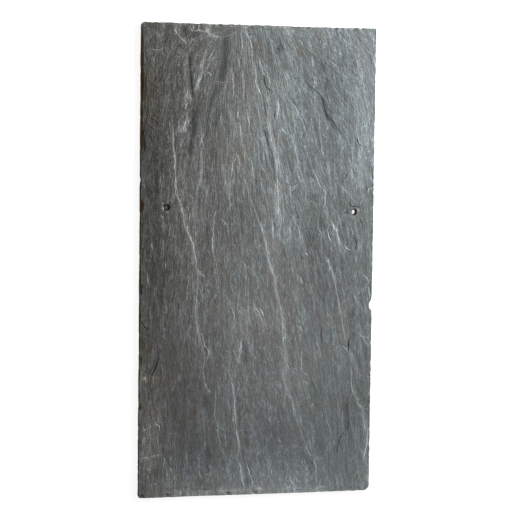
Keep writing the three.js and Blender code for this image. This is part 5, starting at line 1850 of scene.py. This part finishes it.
def dirt_mesh(turns=24, rings=7, peak=0.2, fall=0.9, lumps=0.25):
    """A lumpy plug: rings of points round its raised middle, and a narrower foot."""
    random = np.random.default_rng(5)
    angles = [2 * math.pi * k / turns for k in range(turns)]
    points = []
    for share in [ring / rings for ring in range(1, rings + 1)]:
        for angle in angles:
            lump = lumps * random.standard_normal() * (1 - share**4)
            z = DIRT_RIM if share == 1 else DIRT_TOP - peak - fall * share**2 + lump
            radius = DIRT_RADIUS * share
            points.append((radius * math.cos(angle), radius * math.sin(angle), z))
    top, foot = len(points), len(points) + 1
    points.append((0, 0, DIRT_TOP))
    points += [(DIRT_FOOT_RADIUS * math.cos(a), DIRT_FOOT_RADIUS * math.sin(a), DIRT_FOOT) for a in angles]
    faces = [(top, k, n) for k, n in round_steps(turns)]
    starts = [*range(0, rings * turns, turns), foot]
    for inner, outer in zip(starts, starts[1:]):
        faces += [(inner + k, outer + k, outer + n, inner + n) for k, n in round_steps(turns)]
    faces.append(tuple(reversed(range(foot, foot + turns))))
    mesh = bpy.data.meshes.new("nail_hole_dirt")
    middle_x, middle_y = LEFT_HOLE
    mesh.from_pydata([((x + middle_x) * MM, (y + middle_y) * MM, z * MM) for x, y, z in points], [], faces)
    return mesh


# ------------------------------------------------------------------ what colours each point


class Surface:
    """The finished stone's points, and how broken, stained, pale and rough the stone is at each, painted
    light and shade included.
    """

    BORE_REACH = 4.2  # how far from a nail hole's middle its rust and painted shade go
    TAIL_BRUISE, TAIL_FADE = -288.5, 3  # the tail is bruised from here on, faded in over this much
    HEAD_BRUISE, HEAD_FADE = 293, 3.5
    WALL_RUST, ARRIS_RUST = 4.5, 1.3  # how far in the left wall and its arris are rusty and painted in shade

    def __init__(self, mesh):
        self.x, self.y, self.z = read_places(mesh)
        self.steep = np.clip(1 - read_points(mesh, "normal")[:, 2], 0, 1)
        self.rim = rim_distance(self.x, self.y)
        self.on_face = ramp(self.z - 1.0, 2.0)
        in_bore = np.exp(-((hole_distance(self.x, self.y) / self.BORE_REACH) ** 12))
        self.bore = in_bore * ramp(FACE - 0.2 - self.z, 0.7)

    def bump(self, place, reach):
        return bump(self.x, self.y, place, reach)

    def patched(self, values, patches, strength=1.0):
        """Values raised or lowered by soft patches, each with its place, reach and how much."""
        for place, reach, amount in patches:
            values = values * (1 + strength * amount * self.bump(place, reach))
        return values

    def broken(self, rims):
        """Freshly broken stone: steep borders, scoops, scars, and the bruised tail and head."""
        broken = 0.5 * ramp(self.steep - 0.02, 0.35) * ramp(9 - self.rim, 6)
        scoops = scooped(self.x, self.y, rims, {"left": 0.3, "right": 0.6, "tail": 0.8})
        broken = np.maximum(broken, ramp(scoops, 0.4))
        for place, reach in SCARS:
            broken = np.maximum(broken, 0.8 * self.bump(place, reach))
        tail = ramp(self.TAIL_BRUISE - self.y, self.TAIL_FADE)
        tail = tail * (0.48 + 0.14 * self.bump((-60, -299), (50, 20)))
        head = 0.5 * ramp(self.y - self.HEAD_BRUISE, self.HEAD_FADE)
        head = head * np.interp(self.x, (-130, -100, 60, 120), (0.5, 1, 1, 0.6))
        return np.maximum(broken, np.maximum(tail, head)) * self.on_face

    def stain_and_shade(self):
        """Rust and painted shade: the left side and its arris, which face away from the light, the bores, and
        the stains' own lines.
        """
        from_left = self.x + HALF_WIDTH
        wall = ramp(self.WALL_RUST - from_left, 2) * ramp(self.steep - 0.3, 0.4)
        arris = ramp(self.ARRIS_RUST - from_left, 0.7) * np.interp(self.y, (-299, -250), (0.5, 0.9))
        stain_and_shade = np.maximum(np.maximum(wall, arris), self.bore)
        for walk in walks_of(STAINS):
            numbers, distance, shown = walk.near(self.x, self.y, 2.2 * walk.width)
            line = walk.strength * shown * np.exp(-((distance / walk.width) ** 2))
            stain_and_shade[numbers] = np.maximum(stain_and_shade[numbers], line)
        return stain_and_shade

    def olive_and_shade(self):
        """The dark film between the left edge and a wandering bank: partly stain, partly painted shade."""
        bank_x, bank_y = zip(*OLIVE_BANK)
        bank = np.interp(self.y, bank_y, bank_x)
        return np.clip(0.7 * ramp(bank - self.x, 1.5) + 0.7 * self.bump((-144, -118), (7, 30)), 0, 1)

    def tone(self, swells):
        """How pale the stone is: darker to the left, partly its own tone and partly painted shade as the
        light falls off, with its patches and swells.
        """
        tone = 1 - 0.34 * ramp(35 - self.x, 150) ** 0.8
        # the swells' painted light and shade
        return self.patched(tone, TONES, TONE_STRENGTH) * painted_swell_shading(self.x, self.y, swells)

    def warm(self):
        """From a cool grey on the right to a warm one on the left: partly the stone's own hue, partly painted
        warm shade on the left and cool light on the right.
        """
        warm = ramp(60 - self.x, 190) ** 1.3
        return warm + sum(amount * self.bump(place, reach) for place, reach, amount in HUES)

    def violet(self):
        """How violet the grey is: more towards the tail, less by the left edge."""
        violet = np.interp(self.y, (-250, 150), (1.2, -0.6)) * ramp(140 - self.x, 200)
        return violet - 3.0 * ramp(-105 - self.x, 35) + 1.8 * self.bump((120, 255), (50, 70))

    def rough(self):
        """How rough the stone is: more towards the head and the left."""
        rough = np.interp(self.y, (-260, -60, 120, 260), (0.7, 0.85, 1.1, 1.2))
        rough = rough * np.interp(self.x, (-125, -75, -25, 25), (1.5, 1.28, 1.1, 1.0))
        return self.patched(rough, ROUGHS)

    def sweep(self):
        """Where the cleavage sweeps aside, under the head's right corner."""
        return np.maximum(self.bump((100, 235), (52, 75)), 1.2 * self.bump((128, 272), (36, 34)))


def weather(mesh, rims, swells, layers):
    """Stores what the finished shape and place of each point say about its colour."""
    surface = Surface(mesh)
    shown = np.maximum(ramp(surface.rim - 0.5, 1.5), 0.3) * surface.on_face
    for k, layer in enumerate(layers):
        field = line_field(surface.x, surface.y, layer)
        field[:, 1] *= shown
        add_attribute(mesh, f"lines_{k}", "FLOAT_VECTOR", field)
    stored = {
        "broken": surface.broken(rims),
        "stain_and_shade": surface.stain_and_shade(),
        "olive_and_shade": surface.olive_and_shade(),
        "tone": surface.tone(swells),
        "warm": surface.warm(),
        "violet": surface.violet(),
        "rough": surface.rough(),
        "sweep": surface.sweep(),
        "bore_rust_and_shade": surface.bore,
    }
    for name, values in stored.items():
        add_attribute(mesh, name, "FLOAT", values)


# ------------------------------------------------------------------ settings


def a_number(name, description, default, **more):
    return FloatProperty(name=name, description=description, default=default, **more)


def a_length(name, description, default):
    return a_number(name, description, default, unit="LENGTH")


def a_colour(name, description, *default):
    return FloatVectorProperty(name=name, description=description, default=default, subtype="COLOR")


class SlateSettings(bpy.types.PropertyGroup):
    """Sizes and colours of the stone."""

    across_gap: a_number("Grid Across", "Gap between points across the tile, mm", 1.2)
    along_gap: a_number("Grid Along", "Gap between points along the tile, mm", 2.2)
    grain_width: a_length("Grain Width", "Width of the fine grain", 0.0052)
    grain_length: a_length("Grain Length", "Length of the fine grain", 0.055)
    grain_depth: a_length("Grain Depth", "Depth of the fine grain", 0.00035)
    sheet_width: a_length("Sheet Width", "Width of the cleaved sheets", 0.03)
    sheet_length: a_length("Sheet Length", "Length of the cleaved sheets", 0.16)
    sheet_depth: a_length("Sheet Depth", "Thickness of one cleaved sheet", 0.00022)
    layer_depth: a_length("Layer Depth", "How deep the layers show on the sides", 0.0009)
    seed: IntProperty(name="Seed", description="Which pattern of sheets and grain", default=3)
    stone_colour: a_colour("Stone", "The stone's own grey", 0.1305, 0.1272, 0.1248)
    shade_colour: a_colour("Dark Streaks", "Darkest streaks", 0.0497, 0.0473, 0.0451)
    pale_colour: a_colour("Pale Streaks", "Palest streaks", 0.2545, 0.277, 0.274)
    # partly painted: the warm shade of the left side
    warm_tint: a_colour("Warm Tint", "Tint of the weathered left side", 1.085, 1.0, 0.956)
    # partly painted: the cool light and sheen of the right side
    cool_tint: a_colour("Cool Tint", "Tint of the right side", 0.914, 1.0, 1.02)
    # the dark film by the left edge: stain and painted shade
    olive_and_shade_tint: a_colour("Olive Tint", "Film of algae and rust by the left edge", 0.84, 0.8, 0.64)
    chip_tint: a_colour("Chips", "How fresh chips differ from the stone", 1.46, 1.44, 1.36)
    # crushed stone along the seams, and the painted highlight of their steps that face the light
    bruise_and_highlight_colour: a_colour("Bruised Edges", "Crushed stone along seams", 0.525, 0.594, 0.586)
    # rust, darkened to stand for the shade of the left side and the bores
    rust_and_shade_colour: a_colour("Rust", "Rusty stain of the left side", 0.022, 0.01, 0.0015)
    # painted shadow of the cracks
    crack_shadow_colour: a_colour("Cracks", "Depth of the cracks", 0.02, 0.017, 0.015)
    # the bores' walls, rust and painted shade
    bore_rust_and_shade_colour: a_colour("Bores", "Walls of the nail holes", 0.026, 0.011, 0.004)
    dirt_colour: a_colour("Dirt", "Dirt lodged in a nail hole", 0.27, 0.225, 0.14)


class StageSettings(bpy.types.PropertyGroup):
    """Floor and light."""

    key_power: a_number("Key Light", "Power of the key light", 29.0, subtype="POWER")
    fill_light: a_number("Fill Light", "Strength of the light all round", 0.3)
    floor_colour: a_number("Floor", "How pale the floor is", 0.35)
    floor_glow: a_number("Floor Glow", "Light given off by the floor", 0.86)


# ------------------------------------------------------------------ operators


class SLATE_OT_stone(bpy.types.Operator):
    """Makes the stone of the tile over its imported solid"""

    bl_idname = "slate_tile.stone"
    bl_label = "Stone"

    def execute(self, context):
        settings = context.scene.slate_tile
        walks, swells, rims = seams_and_cracks(), walks_of(SWELLS), make_rims()
        layers = sort_walks(walks)
        stone = Stone(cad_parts[NODE])
        piece = add_piece("slate", build_slab(stone, rims, settings.across_gap, settings.along_gap))
        add_grain(piece.data)
        add_carving(piece.data, walks, swells)
        values = {label: getattr(settings, label.lower().replace(" ", "_")) for label in RELIEF_SIZES}
        values["Seed"] = float(settings.seed)
        values["Material"] = slate_material(settings, len(layers))
        apply_tree(piece, relief_tree(), values)
        cut_holes(piece)
        piece.data.shade_smooth()
        piece.data.set_sharp_from_angle(angle=SHARP_ANGLE)
        add_grain(piece.data)
        weather(piece.data, rims, swells, layers)
        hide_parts(NODE)
        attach(piece, BODY)
        return {"FINISHED"}


class SLATE_OT_dirt(bpy.types.Operator):
    """Makes the dirt lodged in the left nail hole"""

    bl_idname = "slate_tile.dirt"
    bl_label = "Dirt in the Left Hole"

    def execute(self, context):
        mesh = dirt_mesh()
        mesh.materials.append(dirt_material(context.scene.slate_tile))
        mesh.polygons.foreach_set("use_smooth", [True] * len(mesh.polygons))
        piece = add_piece("nail_hole_dirt", mesh)
        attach(piece, BODY)
        return {"FINISHED"}


class SLATE_OT_stage(bpy.types.Operator):
    """Makes the floor, the lights and the camera"""

    bl_idname = "slate_tile.stage"
    bl_label = "Stage"

    def execute(self, context):
        scene, settings = context.scene, context.scene.slate_stage
        scene.view_settings.view_transform = "Standard"
        add_floor(settings)
        light_room(scene, settings)
        scene.collection.objects.link(key_lamp(settings))
        scene.camera = stage_camera()
        scene.collection.objects.link(scene.camera)
        return {"FINISHED"}


def add_floor(settings):
    corners = [(x * FLOOR_HALF, y * FLOOR_HALF, 0) for x, y in ((-1, -1), (1, -1), (1, 1), (-1, 1))]
    mesh = bpy.data.meshes.new("floor")
    mesh.from_pydata(corners, [], [(0, 1, 2, 3)])
    mesh.materials.append(floor_material(settings))
    add_piece("floor", mesh)


def light_room(scene, settings):
    """Gives the scene an even light from all round."""
    scene.world = bpy.data.worlds.new("Soft Room")
    scene.world.use_nodes = True
    background = scene.world.node_tree.nodes["Background"]
    background.inputs["Color"].default_value = ROOM_COLOUR
    background.inputs["Strength"].default_value = settings.fill_light


def key_lamp(settings):
    """A square lamp that looks at the tile's middle."""
    light = bpy.data.lights.new("key", "AREA")
    light.shape = "SQUARE"
    light.size = KEY_SIZE
    light.energy = settings.key_power
    light.color = KEY_COLOUR
    lamp = bpy.data.objects.new("key", light)
    level, rise = math.cos(KEY_ELEVATION), math.sin(KEY_ELEVATION)
    direction = Vector((level * math.cos(KEY_AZIMUTH), level * math.sin(KEY_AZIMUTH), rise))
    lamp.location = direction * KEY_DISTANCE
    lamp.rotation_euler = direction.to_track_quat("Z", "Y").to_euler()
    return lamp


def stage_camera():
    lens = bpy.data.cameras.new("camera")
    lens.sensor_width = CAMERA_SENSOR
    lens.lens = CAMERA_LENS
    camera = bpy.data.objects.new("camera", lens)
    camera.matrix_world = looking(Vector(CAMERA_PLACE) * MM, Vector(CAMERA_TARGET) * MM, CAMERA_ROLL)
    return camera


def looking(place, target, roll):
    """A camera's matrix: it looks from place to target with the tile's head up, turned by roll."""
    back = (place - target).normalized()
    side = Vector((0, 1, 0)).cross(back).normalized()
    right = math.cos(roll) * side + math.sin(roll) * back.cross(side)
    turn = Matrix((right, back.cross(right), back)).transposed()
    return Matrix.Translation(place) @ turn.to_4x4()


class SLATE_PT_panel(bpy.types.Panel):
    """Lists the tile's settings and steps"""

    bl_idname = "SLATE_PT_panel"
    bl_label = "Slate Tile"
    bl_space_type = "VIEW_3D"
    bl_region_type = "UI"
    bl_category = "Slate Tile"

    def draw(self, context):
        layout = self.layout
        for group in (context.scene.slate_tile, context.scene.slate_stage):
            for name in group.__annotations__:
                layout.prop(group, name)
        for operator in OPERATORS:
            layout.operator(operator.bl_idname)


OPERATORS = (SLATE_OT_stone, SLATE_OT_dirt, SLATE_OT_stage)
CLASSES = (SlateSettings, StageSettings, *OPERATORS, SLATE_PT_panel)


def register():
    for kind in CLASSES:
        bpy.utils.register_class(kind)
    bpy.types.Scene.slate_tile = PointerProperty(type=SlateSettings)
    bpy.types.Scene.slate_stage = PointerProperty(type=StageSettings)


def unregister():
    del bpy.types.Scene.slate_stage
    del bpy.types.Scene.slate_tile
    for kind in reversed(CLASSES):
        bpy.utils.unregister_class(kind)


def main():
    register()
    bpy.ops.slate_tile.stone()
    bpy.ops.slate_tile.dirt()
    bpy.ops.slate_tile.stage()


if __name__ == "__main__":
    main()
